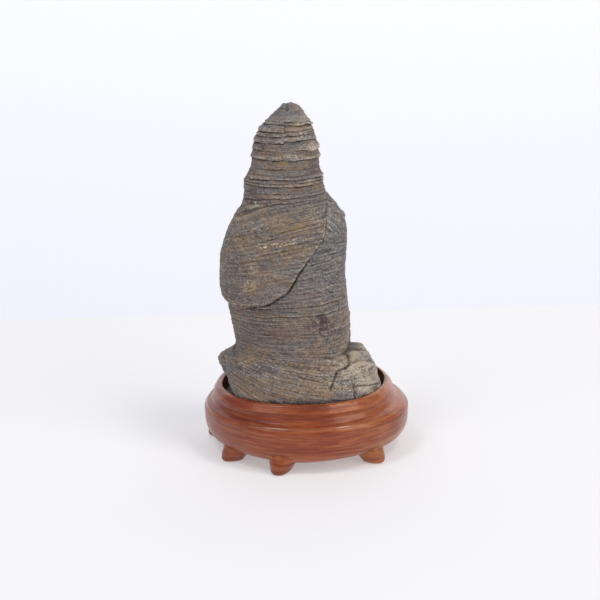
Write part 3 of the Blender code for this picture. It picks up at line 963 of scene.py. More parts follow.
STAINS: dict[Trait, tuple[Stain, ...]] = {
    Trait.OCHRE: table(
        Stain,
        (0.7, 315, 164.6, 6, 2.2),
        (0.9, 260, 147.6, 3.4, 1.3),
        (0.6, 265, 118.4, 7, 3.5),
        (0.6, 256, 122.5, 4, 4),
        (0.9, 284, 118, 7, 2.6),
        (0.6, 214, 110.4, 6, 3),
        (0.6, 229, 101.1, 4, 5),
        (0.8, 230, 91.1, 3.5, 2.8),
        (0.5, 262, 108.5, 14, 2.8),
        (0.8, 260, 74.6, 4, 1.3),
        (0.5, 297, 62, 1.8, 4.5),
        (0.8, 322, 80, 2.6, 1.4),
        (0.5, 278, 48.9, 9, 3.5),
        (0.6, 228, 56, 8, 3.5),
        (0.7, 282, 40, 14, 4),
        (0.5, 240, 40, 14, 5),
        (0.8, 327, 50.2, 4.6, 2.4),
        (0.6, 60, 96, 10, 7),
        (0.7, 120, 66, 11, 5),
        (0.6, 150, 112, 9, 6),
        (0.6, 90, 42, 16, 5),
        (0.6, 100, 152, 7, 4),
    ),
    Trait.SLATE: table(
        Stain,
        (0.7, 304, 131, 7, 3),
        (0.5, 254, 128.4, 6, 2),
        (0.7, 280, 100, 3, 4.5),
        (0.9, 256, 79.4, 4, 2.6),
        (0.8, 206, 46.8, 5, 2.2),
        (0.9, 241, 50.4, 7, 2),
        (0.7, 312, 92, 9, 14),
        (0.9, 335, 110, 8, 13),
        (0.9, 350, 122, 8, 6),
        (0.7, 262, 171, 9, 3.6),
        (0.6, 268, 96.8, 3, 3),
        (0.9, 311.5, 35.6, 5.5, 2.4),
        (1, 317, 41.6, 4.2, 1.2),
        (1, 341.5, 48.4, 2.4, 1.6),
        (0.6, 20, 90, 10, 14),
        (0.6, 80, 70, 9, 8),
    ),
    Trait.UMBER: table(
        Stain,
        (0.8, 199, 155.4, 5, 3),
        (0.7, 335, 144, 4, 5),
        (0.6, 258, 144.9, 4, 1.5),
        (0.9, 235, 79, 5, 1.6),
        (1, 304.5, 70, 6, 6.5),
        (0.6, 203, 131, 4, 4),
        (0.5, 218, 99, 6, 6),
        (0.5, 246, 101, 6, 3),
        (0.6, 216, 84, 6, 5),
        (0.5, 245, 66, 10, 6),
        (0.8, 229, 48.8, 9, 1.6),
        (0.6, 316.5, 37.6, 1.6, 3),
        (0.5, 120, 120, 10, 8),
    ),
    Trait.PALE: table(
        Stain,
        (0.9, 336, 46, 12, 9),
        (0.9, 323.5, 37, 3, 1.4),
        (0.6, 214, 127.6, 1.7, 1.3),
        (0.4, 345, 90, 2.6, 16),
        (0.4, 344, 64, 3, 10),
        (0.5, 345, 168, 5, 4),
        (0.5, 332, 153.6, 4, 2.6),
    ),
    Trait.FLECK: table(
        Stain,
        (0.35, 312, 122, 4, 5),
        (0.7, 230, 90.4, 3.2, 2.4),
        (0.3, 229, 101, 2.4, 4),
        (1, 312, 160.9, 2, 1),
        (1, 276, 151.4, 2.6, 0.7),
        (0.9, 289, 151.3, 1, 0.7),
        (0.9, 322, 138.4, 3, 0.8),
        (0.9, 260, 160.8, 0.8, 0.8),
        (0.7, 214, 128, 1.6, 1.2),
        (0.6, 318, 44, 10, 6),
    ),
}


@dataclass
class ScholarsStone:
    """The stone: its fine mesh, the traits that its stains and lips need, and its finish."""

    form: StoneForm
    relief: StoneRelief
    columns: int = 262
    front_crowding: float = 0.34  # columns are closer at the front by this share
    cap_rings: tuple[float, ...] = (0.3, 0.55, 0.8)
    head_pitch: float = 0.36
    head_foot: float = 135.6
    robe_rings: int = 88
    hem_rings: tuple[float, ...] = (2.2, 1.5, 1.0, 0.6, 0.3, 0.0, -0.25, -0.5, -0.8, -1.2, -1.8)
    lower_rings: int = 86
    level_again: float = 58.0
    base_rings: int = 60
    # the left shoulder, where the beds are worn smooth: azimuths and heights
    worn_round: Bell = Bell(226.0, 28.0)
    worn_level: Bell = Bell(122.5, 5.0)
    worn_share: float = 0.85
    # the granular slab: below the robe's edge, above its foot, and to the right of the front
    slab_edge: Step = Step(0.0, -1.5)
    slab_foot: Step = Step(82.0, 8.0)
    slab_front: Step = Step(-10.0, 20.0)
    slab_slate: float = 0.8
    head_beds: float = 0.4  # share of the thin beds' relief that the head keeps
    head_edge: Step = Step(132.0, 3.0)
    dash_relief: float = 0.3
    top_gap: float = 0.02  # below the given top, so that the stone stays inside it
    ends: Pair = (3.0, 1.5)  # over what height the relief fades in at the foot and out at the top
    droop: float = 0.45  # how far a lip hangs down for each millimetre that it stands out
    # how much painted shade the undercuts of ledges and beds, the cleft, and the seam with the
    # stand lay on the stone
    ledge_painted_shade: float = 0.8
    bed_painted_shade: float = 1.9
    cleft_painted_shade: float = 0.6
    seam_painted_shade: float = 0.8
    seam: Step = Step(35.8, -2.5)
    # bulges against the near and the farther neighbours: how much of the painted shade they take
    # away, and how much paler they make a lip, as wear and as a painted highlight
    bulge_steps: tuple[int, int] = (1, 4)
    light_bulge: Pair = (2.0, 0.5)
    pale_bulge: Pair = (3.5, 0.7)
    pale_ledge: float = 0.7
    pale_start: float = 0.1
    flecked: float = 0.7
    dash_fleck: float = 2.2
    stain_edge: Rough = Rough(0.55, 5.0, 3.0, 101, 3)
    stain_reach: float = 1.6  # in half widths, to where a stain has faded out
    # the row of pale dashes on one bed of the robe: azimuths and heights
    dash_row: tuple[Pair, ...] = (
        (224, 109.4),
        (241.6, 109.3),
        (252.2, 109.7),
        (263.5, 110.4),
        (276, 111.4),
        (290, 113.2),
    )
    dash_pitch: float = 2.0
    dash_sharpness: float = 1.9
    dash_thinness: float = 0.3
    lower_dashes: Bell = Bell(0.0, 0.26)
    upper_dashes: Bell = Bell(1.35, 0.22)
    upper_strength: float = 0.55
    dash_ends: Pair = (20.0, 18.0)  # degrees over which the row fades in and out

    def ring_heights(self, azimuths: Array) -> Array:
        """Heights of the rings at each azimuth, from the top down; those of the body bend to
        follow the robe's edge, where they lie closest together.

        Args:
            azimuths: azimuths of the columns.

        Returns:
            An array of rings and columns.
        """
        level = np.ones_like(azimuths)
        head = np.arange(self.form.top - 0.3, self.head_foot, -self.head_pitch)
        rings = [level * height for height in head]
        edge = self.form.hem_height(azimuths)
        upper, lower = edge + self.hem_rings[0], edge + self.hem_rings[-1]
        for share in np.linspace(0.0, 1.0, self.robe_rings + 1)[:-1]:
            rings.append(blend(self.head_foot, upper, share))
        rings += [edge + offset for offset in self.hem_rings]
        for share in np.linspace(0.0, 1.0, self.lower_rings + 1)[1:]:
            rings.append(blend(lower, self.level_again, share))
        for share in np.linspace(0.0, 1.0, self.base_rings + 1)[1:]:
            rings.append(level * blend(self.level_again, self.form.foot, share))
        return np.array(rings)

    @staticmethod
    def normals(places: Array) -> Array:
        """Outward directions of a grid of rings and columns."""
        round_step = np.roll(places, -1, axis=1) - np.roll(places, 1, axis=1)
        down_step = np.gradient(places, axis=0)
        normal = np.cross(down_step, round_step)
        return normal / np.maximum(np.linalg.norm(normal, axis=-1, keepdims=True), 1e-9)

    @staticmethod
    def bulge(places: Array, normal: Array, reach: int) -> Array:
        """How far each point stands out from its neighbours, this many steps away."""
        padded = np.concatenate(
            (np.repeat(places[:1], reach, axis=0), places, np.repeat(places[-1:], reach, axis=0))
        )
        near = (
            padded[2 * reach :]
            + padded[: -2 * reach]
            + np.roll(places, reach, axis=1)
            + np.roll(places, -reach, axis=1)
        ) / 4.0
        return ((places - near) * normal).sum(axis=-1)

    def stain(self, trait: Trait, skin: Skin) -> Array:
        """Strength of one kind of stain at each place, with ragged edges."""
        ragged = self.stain_edge.at(skin.points)
        total = np.zeros(skin.height.shape)
        for stain in STAINS[trait]:
            across = np.radians(turn_between(skin.azimuth, stain.azimuth)) * skin.radius
            up = skin.height - stain.height
            away = np.hypot(across / stain.half_width, up / stain.half_height)
            total = np.maximum(total, stain.strength * ease(self.stain_reach - away + ragged))
        return total

    def dashes(self, skin: Skin) -> Array:
        """Strength of the two lines of pale dashes on one bed of the robe."""
        first, last = self.dash_row[0][0], self.dash_row[-1][0]
        above = skin.height - through(self.dash_row, skin.azimuth)
        along = np.radians(skin.azimuth) * skin.radius / self.dash_pitch
        gap = 0.5 + 0.5 * np.cos(math.tau * along)
        inside = ease((skin.azimuth - first) / self.dash_ends[0])
        inside = inside * ease((last - skin.azimuth) / self.dash_ends[1])
        lower = self.lower_dashes.at(above) * ease(gap * self.dash_sharpness - self.dash_thinness)
        return inside * (lower + self.upper_strength * self.upper_dashes.at(above))

    def column_azimuths(self) -> Array:
        """Azimuths of the columns, closer together at the front than at the back."""
        even = np.arange(self.columns) * FULL_TURN / self.columns
        crowding = math.degrees(self.front_crowding)
        return np.mod(even - crowding * np.sin(np.radians(even - FRONT)), FULL_TURN)

    def slab(self, skin: Skin, above_hem: Array) -> Array:
        """1 on the granular slab below the robe at the right, and 0 elsewhere."""
        level = self.slab_edge.at(above_hem) * self.slab_foot.at(skin.height)
        return level * self.slab_front.at(turn_between(skin.azimuth, FRONT))

    def surface(self) -> tuple[Array, dict[Trait, Array]]:
        """Works out the stone's skin.

        Returns:
            The points, as an array of rings, columns and coordinates in millimetres, and the
            traits of those points.
        """
        form, relief = self.form, self.relief
        azimuths = self.column_azimuths()
        height = self.ring_heights(azimuths)
        skin = form.skin(np.broadcast_to(azimuths, height.shape), height)
        above_hem = form.above_hem(skin)
        on_slab = self.slab(skin, above_hem)
        level = relief.level(skin, above_hem)
        ledges, ledge_shade = relief.head_ledges(skin)
        beds, bed_shade = relief.thin_beds(level, skin)
        kept = blend(1.0, self.head_beds, self.head_edge.at(height))
        kept = kept * blend(1.0, relief.slab_beds, on_slab)
        worn = self.worn_round.round_at(skin.azimuth) * self.worn_level.at(height)
        kept = kept * (1.0 - self.worn_share * worn)
        cracks, crack_shade = relief.cracked(skin)
        dashes = self.dashes(skin)

        upstand = ledges + beds * kept + self.dash_relief * dashes
        at_foot, at_top = self.ends
        fade = ease((height - form.foot) / at_foot) * ease((form.top - height) / at_top)
        offset = (upstand + relief.grains(level, skin, on_slab) - cracks) * fade
        points = skin.points + self.normals(skin.points) * offset[..., None]
        points[..., 2] -= self.droop * np.maximum(upstand, 0.0) * fade
        points[..., 2] -= relief.tip_drop(skin.points)
        points[..., 2] = np.clip(points[..., 2], form.foot, form.top - self.top_gap)

        normal = self.normals(points)
        bulges = np.array([self.bulge(points, normal, steps) for steps in self.bulge_steps])
        # painted shade: under the lips of ledges and beds, in the cracks and the cleft, and at the
        # stone's foot inside the stand; bulges take some of it away
        shade = self.ledge_painted_shade * ledge_shade + self.bed_painted_shade * bed_shade * kept + crack_shade
        shade += self.cleft_painted_shade * form.cleft_depth(skin, above_hem)
        shade += self.seam_painted_shade * self.seam.at(points[..., 2])
        shade -= np.tensordot(self.light_bulge, bulges, 1)
        # pale lips: partly real wear, partly a painted highlight on bulges and ledge tops
        lip = np.tensordot(self.pale_bulge, bulges, 1) + self.pale_ledge * ledges + dashes
        traits = {trait: self.stain(trait, skin) for trait in STAINS}
        traits[Trait.SLATE] = np.maximum(traits[Trait.SLATE], self.slab_slate * on_slab)
        flecks = self.flecked * traits[Trait.FLECK]
        traits[Trait.FLECK] = np.maximum(flecks, self.dash_fleck * dashes)
        traits[Trait.BED_PLACE] = stacked(points[..., 0], points[..., 1], level)
        traits[Trait.PAINTED_SHADE] = np.clip(shade, 0.0, 1.0)
        traits[Trait.LIP] = np.clip(lip - self.pale_start, 0.0, 1.0)
        return points, traits

    def build(self, finish: BeddedLimestone) -> bpy.types.Object:
        """Makes the stone's mesh and dresses it.

        Args:
            finish: what the stone is made of.

        Returns:
            The stone, in its place in the stand.
        """
        places, traits = self.surface()
        first = places[0]
        centre = first.mean(axis=0)
        centre[2] = first[:, 2].max() - 0.1
        caps = np.array([centre + (first - centre) * share for share in self.cap_rings])
        rings = np.concatenate((caps, places))
        bottom = (*self.form.axis, self.form.foot)
        mesh = ringed_mesh("scholars_stone", rings, tuple(centre), bottom)
        for trait, values in traits.items():
            flat = np.concatenate((np.repeat(values[:1], len(caps), axis=0), values))
            flat = flat.reshape((-1,) + values.shape[2:])
            flat = np.concatenate((flat, flat[:1], flat[-1:]))
            store_trait(mesh, trait, flat)
        mesh.materials.append(finish.material())
        stone = new_object("scholars_stone", mesh)
        log.info("stone: %d faces", len(mesh.polygons))
        return stone


# ---------------------------------------------------------------- the stand


@dataclass(frozen=True)
class FootSection:
    """A level cut of a foot: inner and outer ends from the toe, and its half width."""

    height: float
    inner: float
    outer: float
    half_width: float


@dataclass
class CarvedStand:
    """The stand: an oval block turned and carved by hand, with its recess and six feet."""

    belly_radius: float = 51.65
    belly_height: float = 19.8
    belly_foot: Pair = (40.8, 5.5)
    ridge: Pair = (48.7, 24.6)
    crest_height: float = 23.5  # where the tangents of the crest below the ridge meet
    shoulder: Pair = (46.1, 25.2)
    groove: Pair = (44.6, 27.8)
    collar: Pair = (45.3, 30.0)
    rim_outer: Pair = (42.9, 33.4)
    rim_top: Pair = (41.2, 34.0)
    rim_inner: Pair = (40.4, 33.5)
    seat: Pair = (39.6, 27.0)
    depth_ratio: float = 0.88
    turn: float = -7.0
    collar_shift: Pair = (-1.4, 0.0)
    collar_squareness: float = 2.15
    opening_shift: Pair = (-1.0, 0.2)
    opening_squareness: float = 2.45
    underside_drop: float = 1.0  # the belly hangs lower by this much at the front
    drop_round: Bell = Bell(262.0, 26.0)
    chisel: Rough = Rough(1.0, 14.0, 5.0, 201, 2)
    chisel_depth: float = 0.22  # how far the carved surface strays from the turned one
    chisel_inside: Step = Step(30.0, 8.0)
    # at the left and right the groove is filled up and the ridge taken down, at these heights
    side_fill: float = 0.9
    side_fill_level: Bell = Bell(26.2, 1.7)
    side_cut: float = 0.6
    side_cut_level: Bell = Bell(23.6, 1.3)
    side_start: Step = Step(43.0, 1.5)
    underside_inside: Step = Step(20.0, 18.0)
    corner_radius: float = 0.45
    belly_power: float = 2.76  # of the curve between the widest ring and the underside
    belly_steps: int = 16
    crest_steps: int = 9
    step_limit: float = 1.1  # longest side of the outline
    middle_hole: float = 2.0  # radius inside which the seat and the underside are closed
    crease: float = 38.0  # degrees between faces from which an edge stays sharp
    columns: int = 288
    # azimuth, how far the toe stays inside the belly's widest ring, and its lean to the left
    feet: tuple[Point, ...] = (
        (27, 1.4, 0.6),
        (95, 2, -0.8),
        (165.5, 0.8, 0),
        (210.5, 2.2, 1.2),
        (251.5, 0.4, 0.7),
        (319, 2.4, -0.6),
    )
    foot_sections: tuple[FootSection, ...] = table(
        FootSection,
        (0, -9, 0.2, 4.6),
        (0.5, -9.4, 1.2, 5.6),
        (1.6, -9.8, 1.6, 6.4),
        (4, -11, 1.4, 7.6),
        (6.5, -11.5, 0.7, 8.6),
        (8.5, -12, -0.1, 9.4),
        (11, -12.5, -1.2, 8),
        (13.5, -13, -2.6, 5.6),
        (15, -12.5, -5, 4.4),
    )
    grain_radius: float = 46.0  # of the round form that the grain's pattern is wrapped on
    foot_sides: int = 56
    foot_rings: int = 40
    foot_crowding: float = 1.25  # the rings of a foot are closer together near the table
    foot_bow: float = 0.42
    foot_squareness: float = 2.4
    foot_top: float = 0.6  # how far a foot's point lies over its last ring, inside the belly
    lean_end: float = 6.0  # height below which a foot leans more and more
    foot_marks: Rough = Rough(0.14, 3.0, 2.6, 301, 2)  # on the first foot; each has its own
    mark_foot: Step = Step(0.0, 1.5)
    # where the wood is painted paler: real wear on the rim, the crest and the toes, and painted
    # light towards the lit right
    patchy: Rough = Rough(0.5, 9.0, 4.0, 211, 2)
    rim_outside: Step = Step(38.0, 2.0)
    toe_width: float = 7.5  # degrees
    toe_level: Bell = Bell(8.0, 3.6)
    lit_right: float = 0.55
    lit_right_start: Step = Step(0.25, 0.6)
    # and where painted shade deepens its red: in the groove and the shoulder under the rim, on the
    # left and on the upper rim away from the lit right
    shoulder_outside: Step = Step(42.0, 2.0)
    shade_left: float = 1.15
    shade_left_start: Step = Step(0.35, 0.6)
    shade_front: Step = Step(0.9, -0.5)

    @staticmethod
    def bend(start: Pair, corner: Pair, end: Pair, shares: Sequence[float]) -> list[Pair]:
        """Points of the curve that leaves one point towards a corner and ends at another point
        coming from it, at these shares of its run."""
        return [
            tuple(
                a * (1.0 - t) ** 2 + 2.0 * c * t * (1.0 - t) + b * t * t
                for a, c, b in zip(start, corner, end)
            )
            for t in shares
        ]

    def quarter(self, end: Pair) -> list[Pair]:
        """Points of the belly's curve between its widest ring and an end ring, both left out."""
        points = []
        for i in range(1, self.belly_steps):
            angle = i / self.belly_steps * math.pi / 2.0
            power = 2.0 / self.belly_power
            out, away = math.cos(angle) ** power, math.sin(angle) ** power
            radius = end[0] + (self.belly_radius - end[0]) * out
            points.append((radius, self.belly_height + (end[1] - self.belly_height) * away))
        return points

    def rounded(self, points: list[Pair]) -> list[Pair]:
        """Outline with each corner replaced by a small curve, of at most a third of a side."""
        result = [points[0]]
        for before, corner, after in zip(points, points[1:], points[2:]):
            ends = []
            for other in (before, after):
                share = min(self.corner_radius / math.dist(corner, other), 0.34)
                ends.append([c + (o - c) * share for c, o in zip(corner, other)])
            result += self.bend(ends[0], corner, ends[1], (0.0, 0.33, 0.67, 1.0))
        return result + [points[-1]]

    def divided(self, points: list[Pair]) -> list[Pair]:
        """Outline with its long sides divided."""
        result = [points[0]]
        for before, after in zip(points, points[1:]):
            steps = max(1, math.ceil(math.dist(before, after) / self.step_limit))
            for i in range(1, steps + 1):
                result.append(tuple(a + (b - a) * i / steps for a, b in zip(before, after)))
        return result

    def profile(self) -> Array:
        """Radii and heights from the middle of the recess, over the rim and down the outside."""
        rim = [self.rim_inner, self.rim_top, self.rim_outer, self.collar, self.groove]
        inside = [(self.middle_hole, self.seat[1]), self.seat]
        edges = self.rounded([*inside, *rim, self.shoulder, self.ridge])
        widest = (self.belly_radius, self.belly_height)
        shares = [i / self.crest_steps for i in range(1, self.crest_steps)]
        crest = self.bend(self.ridge, (self.belly_radius, self.crest_height), widest, shares)
        lower = [*self.quarter(self.belly_foot), self.belly_foot]
        underside = (self.middle_hole, self.belly_foot[1])
        return np.array(self.divided([*edges, *crest, widest, *lower, underside]))

    def placed(self, radius: Array, height: Array, azimuth: Array) -> Array:
        """Places points of the round form on the oval, hand-carved one.

        Args:
            radius: distance from the turning axis.
            height: height above the table.
            azimuth: direction from the turning axis.

        Returns:
            Points, in millimetres.
        """
        inner = ease((self.rim_top[0] - radius) / (self.rim_top[0] - self.rim_inner[0]))
        inner = inner * (height > self.belly_height)
        collar = ease((height - self.belly_height) / (self.groove[1] - self.belly_height))
        power = blend(2.0, self.collar_squareness, collar)
        power = blend(power, self.opening_squareness, inner)
        shift_x, shift_y = (
            blend(outer, opening, inner) * np.maximum(collar, inner)
            for outer, opening in zip(self.collar_shift, self.opening_shift)
        )
        across, along = heading(azimuth)
        spread = (np.abs(across) ** power + np.abs(along) ** power) ** (-1.0 / power)
        ring = stacked(across * radius, along * radius, height)
        wander = self.chisel_depth * np.minimum(self.chisel.at(ring) - 0.5, 0.0) * (1.0 - inner)
        wander = wander * self.chisel_inside.at(radius) * ease((height - self.belly_foot[1]) / 2.0)
        outside = (1.0 - inner) * self.side_start.at(radius) * np.abs(across) ** 3
        soften = self.side_fill * self.side_fill_level.at(height)
        soften = soften - self.side_cut * self.side_cut_level.at(height)
        reach = (radius + wander + soften * outside) * spread
        x, y = reach * across, reach * along * self.depth_ratio
        aside, ahead = heading(self.turn)
        place_x = x * aside - y * ahead + shift_x
        place_y = x * ahead + y * aside + shift_y
        low = ease((self.belly_height - height) / (self.belly_height - self.belly_foot[1]))
        facing = np.degrees(np.arctan2(place_y, place_x))
        drop = self.underside_drop * self.drop_round.round_at(facing)
        return stacked(place_x, place_y, height - drop * low * self.underside_inside.at(radius))

    def belly_reach(self, azimuth: float) -> float:
        """Distance from the stand's middle to the widest ring of its oval belly."""
        across, along = heading(azimuth - self.turn)
        return self.belly_radius / math.hypot(across, along / self.depth_ratio)

    def foot_mesh(self, name: str, number: int) -> bpy.types.Mesh:
        """One foot, a bow-shaped wedge with its toe outwards.

        Args:
            name: the mesh's name.
            number: which foot it is.

        Returns:
            The closed mesh.
        """
        azimuth, inset, lean = self.feet[number]
        top = self.foot_sections[-1].height
        level = top * np.linspace(1.0, 0.0, self.foot_rings) ** self.foot_crowding
        inner, outer, half = (
            through(measures(self.foot_sections, "height", name), level)[:, None]
            for name in ("inner", "outer", "half_width")
        )
        across, along = heading(np.arange(self.foot_sides) / self.foot_sides * FULL_TURN)
        power = 2.0 / self.foot_squareness
        along = np.sign(along) * np.abs(along) ** power
        across = np.sign(across) * np.abs(across) ** power
        toe = self.belly_reach(azimuth) - inset
        out = toe + (inner + outer) / 2.0 + (outer - inner) / 2.0 * across
        width = half * (1.0 - self.foot_bow * (1.0 + across) / 2.0)
        aside = width * along - lean * ease((self.lean_end - level) / self.lean_end)[:, None]
        ahead_x, ahead_y = heading(azimuth)
        rings = stacked(
            out * ahead_x - aside * ahead_y, out * ahead_y + aside * ahead_x, level[:, None]
        )
        own_marks = replace(self.foot_marks, seed=self.foot_marks.seed + number)
        marks = own_marks.at(rings) * self.mark_foot.at(level)[:, None]
        rings[..., 0] += marks * ahead_x
        rings[..., 1] += marks * ahead_y
        first, last = rings[0].mean(axis=0), rings[-1].mean(axis=0)
        return ringed_mesh(name, rings, (*first[:2], top + self.foot_top), (*last[:2], 0.0))

    def build(self, finish: WaxedRosewood) -> bpy.types.Object:
        """Makes the stand with its feet joined to it, and dresses it.

        Args:
            finish: what the stand is made of.

        Returns:
            The stand, in its place.
        """
        outline = self.profile()
        azimuths = np.arange(self.columns) * FULL_TURN / self.columns
        radius, azimuth = np.meshgrid(outline[:, 0], azimuths, indexing="ij")
        rings = self.placed(radius, np.broadcast_to(outline[:, 1:], radius.shape), azimuth)
        seat, underside = (0.0, 0.0, self.seat[1]), (0.0, 0.0, self.belly_foot[1])
        stand = new_object("carved_stand", ringed_mesh("carved_stand", rings, seat, underside))
        feet = []
        for number in range(len(self.feet)):
            name = f"foot_{number + 1}"
            foot = new_object(name, self.foot_mesh(name, number))
            join = stand.modifiers.new(name, "BOOLEAN")
            join.operation = "UNION"
            join.solver = "EXACT"
            join.object = foot
            feet.append(foot)
        graph = bpy.context.evaluated_depsgraph_get()
        joined = bpy.data.meshes.new_from_object(stand.evaluated_get(graph))
        joined.name = "carved_stand"
        stand.modifiers.clear()
        stand.data = joined
        for foot in feet:
            bpy.data.objects.remove(foot)
        joined.shade_smooth()
        joined.set_sharp_from_angle(angle=math.radians(self.crease))
        self.store_traits(joined)
        joined.materials.clear()
        joined.materials.append(finish.material())
        log.info("stand: %d faces", len(joined.polygons))
        return stand

    def store_traits(self, mesh: bpy.types.Mesh) -> None:
        """Writes how the grain runs round the stand, where the wood is painted paler for its real
        wear and as painted light towards the lit right, where painted shade deepens its red, and
        the painted shade where no light gets in."""
        places = np.empty(len(mesh.vertices) * 3, dtype=np.float32)
        mesh.vertices.foreach_get("co", places)
        places = places.reshape(-1, 3).astype(float) / MM
        x, y, height = places.T
        facing = np.degrees(np.arctan2(y, x))
        aside, ahead = heading(self.turn)
        across, along = x * aside + y * ahead, (y * aside - x * ahead) / self.depth_ratio
        radius = np.hypot(across, along)
        right = across / np.maximum(radius, 1.0)
        at_sides = 0.1 + 0.9 * ease(right)
        outside = self.rim_outside.at(radius)

        # the rim is paler towards the lit right: real wear, with painted light
        rim = bell(height - self.rim_top[1], 0.9) * outside * at_sides
        edge = bell(height - self.crest_height, 0.7) * ease(radius - self.ridge[0])
        toes = sum(Bell(azimuth, self.toe_width).round_at(facing) for azimuth, _, _ in self.feet)
        toes = toes * self.toe_level.at(height)
        # painted light: the wood is laid paler towards the lit right, on top of the real wear
        at_right = self.lit_right * self.lit_right_start.at(right)
        worn = (rim + 0.5 * edge + 0.5 * toes + at_right) * (0.65 + self.patchy.at(places))

        # painted shade: the groove and the shoulder under the rim, the left side and the upper rim
        # away from the lit right
        groove = bell(height - self.groove[1] + 0.2, 0.7) * bell(radius - self.groove[0], 1.6)
        shoulder = ease((height - self.ridge[1] + 0.4) / 1.2) * ease(self.groove[1] - height)
        shoulder = shoulder * self.shoulder_outside.at(radius)
        at_front = self.shade_front.at(np.abs(right))
        at_left = self.shade_left * self.shade_left_start.at(-right)
        upper = ease((height - self.collar[1]) / 2.0) * outside * (1.0 - at_sides)
        deep = (groove + 0.8 * shoulder) * at_front + at_left + 0.8 * upper
        # painted shade inside the recess, where no light gets in
        inside = ease((self.rim_inner[0] + 0.2 - radius) / 0.8) * (height > self.belly_height)

        share = self.grain_radius / np.maximum(radius, 1.0)
        store_trait(mesh, Trait.GRAIN_PLACE, stacked(across * share, along * share, height))
        store_trait(mesh, Trait.WORN_AND_LIT, np.clip(worn, 0.0, 1.0))
        store_trait(mesh, Trait.PAINTED_RED_SHADE, np.clip(deep, 0.0, 1.0))
        store_trait(mesh, Trait.PAINTED_SHADE, inside)


# ---------------------------------------------------------------- finishes


def add_node(
    tree: bpy.types.NodeTree,
    kind: str,
    properties: dict[str, object] | None = None,
    values: dict[str | int, object] | None = None,
    links: dict[str | int, Socket] | None = None,
) -> bpy.types.Node:
    """Adds a node with its settings and links.

    Args:
        tree: the material's or world's nodes.
        kind: the node's type name.
        properties: settings of the node itself.
        values: numbers or colours set on its inputs, by name or place.
        links: outputs of other nodes that feed its inputs, by name or place.

    Returns:
        The node.
    """
    node = tree.nodes.new(kind)
    for name, value in (properties or {}).items():
        setattr(node, name, value)
    for key, value in (values or {}).items():
        node.inputs[key].default_value = value
    for key, socket in (links or {}).items():
        tree.links.new(socket, node.inputs[key])
    return node


def new_material(name: str) -> tuple[bpy.types.Material, bpy.types.NodeTree, bpy.types.Node]:
    """Empty material with one Principled shader.

    Args:
        name: the material's name.

    Returns:
        The material, its nodes and the shader.
    """
    material = bpy.data.materials.new(name)
    material.use_nodes = True
    tree = material.node_tree
    tree.nodes.clear()
    shader = add_node(tree, "ShaderNodeBsdfPrincipled")
    add_node(tree, "ShaderNodeOutputMaterial", links={"Surface": shader.outputs["BSDF"]})
    return material, tree, shader


# places of a colour Mix node's sockets, some of which share their names
MIX_FACTOR, MIX_UNDER, MIX_OVER, MIX_RESULT = 0, 6, 7, 2


@dataclass(frozen=True)
class Vein:
    """A colour laid where a pattern lies between two values: the pattern's name, the value where
    the colour starts and the one where it is full, its hex code, and how much of it covers."""

    pattern: str
    low: float
    high: float
    tint: str
    most: float


@dataclass
class Painter:
    """Adds the patterns and the colour layers of one material to its nodes."""

    tree: bpy.types.NodeTree

    def trait(self, trait: Trait, output: str = "Fac") -> Socket:
        """Trait of the surface, as written on the mesh."""
        node = add_node(self.tree, "ShaderNodeAttribute", {"attribute_name": trait.value})
        return node.outputs[output]

    def pattern(self, place: Socket, size: Point, detail: float, roughness: float = 0.6) -> Socket:
        """Noise stretched to a size.

        Args:
            place: where it is read, in millimetres.
            size: size of its bumps along x, y and z, in millimetres.
            detail: how many finer sizes are added.
            roughness: how strong the finer sizes are.

        Returns:
            The noise, around 0.5.
        """
        scaled = add_node(
            self.tree, "ShaderNodeVectorMath", {"operation": "DIVIDE"}, {1: size}, {0: place}
        )
        values = {"Scale": 1.0, "Detail": detail, "Roughness": roughness, "Distortion": 0.0}
        links = {"Vector": scaled.outputs[0]}
        return add_node(self.tree, "ShaderNodeTexNoise", None, values, links).outputs["Fac"]

    def share(self, source: Socket, low: float, high: float) -> Socket:
        """Eased 0 to 1 between two values of a pattern."""
        kind = {"interpolation_type": "SMOOTHSTEP"}
        values = {"From Min": low, "From Max": high}
        links = {"Value": source}
        return add_node(self.tree, "ShaderNodeMapRange", kind, values, links).outputs[0]

    def maths(self, operation: str, first: Socket, second: Socket | float) -> Socket:
        """Arithmetic on a pattern and another pattern or a number."""
        node = add_node(self.tree, "ShaderNodeMath", {"operation": operation}, links={0: first})
        if isinstance(second, float):
            node.inputs[1].default_value = second
        else:
            self.tree.links.new(second, node.inputs[1])
        return node.outputs[0]

    def times(self, first: Socket, second: Socket | float) -> Socket:
        """A pattern multiplied by another pattern or a number."""
        return self.maths("MULTIPLY", first, second)

    def layer(self, under: Socket | str, tint: str, amount: Socket) -> Socket:
        """Colour laid over another one.

        Args:
            under: the colour below, as a socket or a hex code.
            tint: the hex code of the colour on top.
            amount: how much of it covers, from 0 to 1.

        Returns:
            The mixed colour.
        """
        values, links = {MIX_OVER: linear(tint)}, {MIX_FACTOR: amount}
        if isinstance(under, str):
            values[MIX_UNDER] = linear(under)
        else:
            links[MIX_UNDER] = under
        node = add_node(self.tree, "ShaderNodeMix", {"data_type": "RGBA"}, values, links)
        return node.outputs[MIX_RESULT]

    def veined(self, under: Socket, patterns: dict[str, Socket], veins: Sequence[Vein]) -> Socket:
        """Veins of colour laid over another colour, one after the other.

        Args:
            under: the colour below.
            patterns: the patterns that the veins name.
            veins: the veins, from the lowest up.

        Returns:
            The mixed colour.
        """
        for vein in veins:
            lies = self.share(patterns[vein.pattern], vein.low, vein.high)
            under = self.layer(under, vein.tint, self.times(lies, vein.most))
        return under

    def bump(self, shader: bpy.types.Node, height: Socket, depth: float, strength: float) -> None:
        """Fine relief of the shader's surface, this many millimetres deep."""
        values = {"Strength": strength, "Distance": depth * MM}
        node = add_node(self.tree, "ShaderNodeBump", None, values, {"Height": height})
        self.tree.links.new(node.outputs["Normal"], shader.inputs["Normal"])


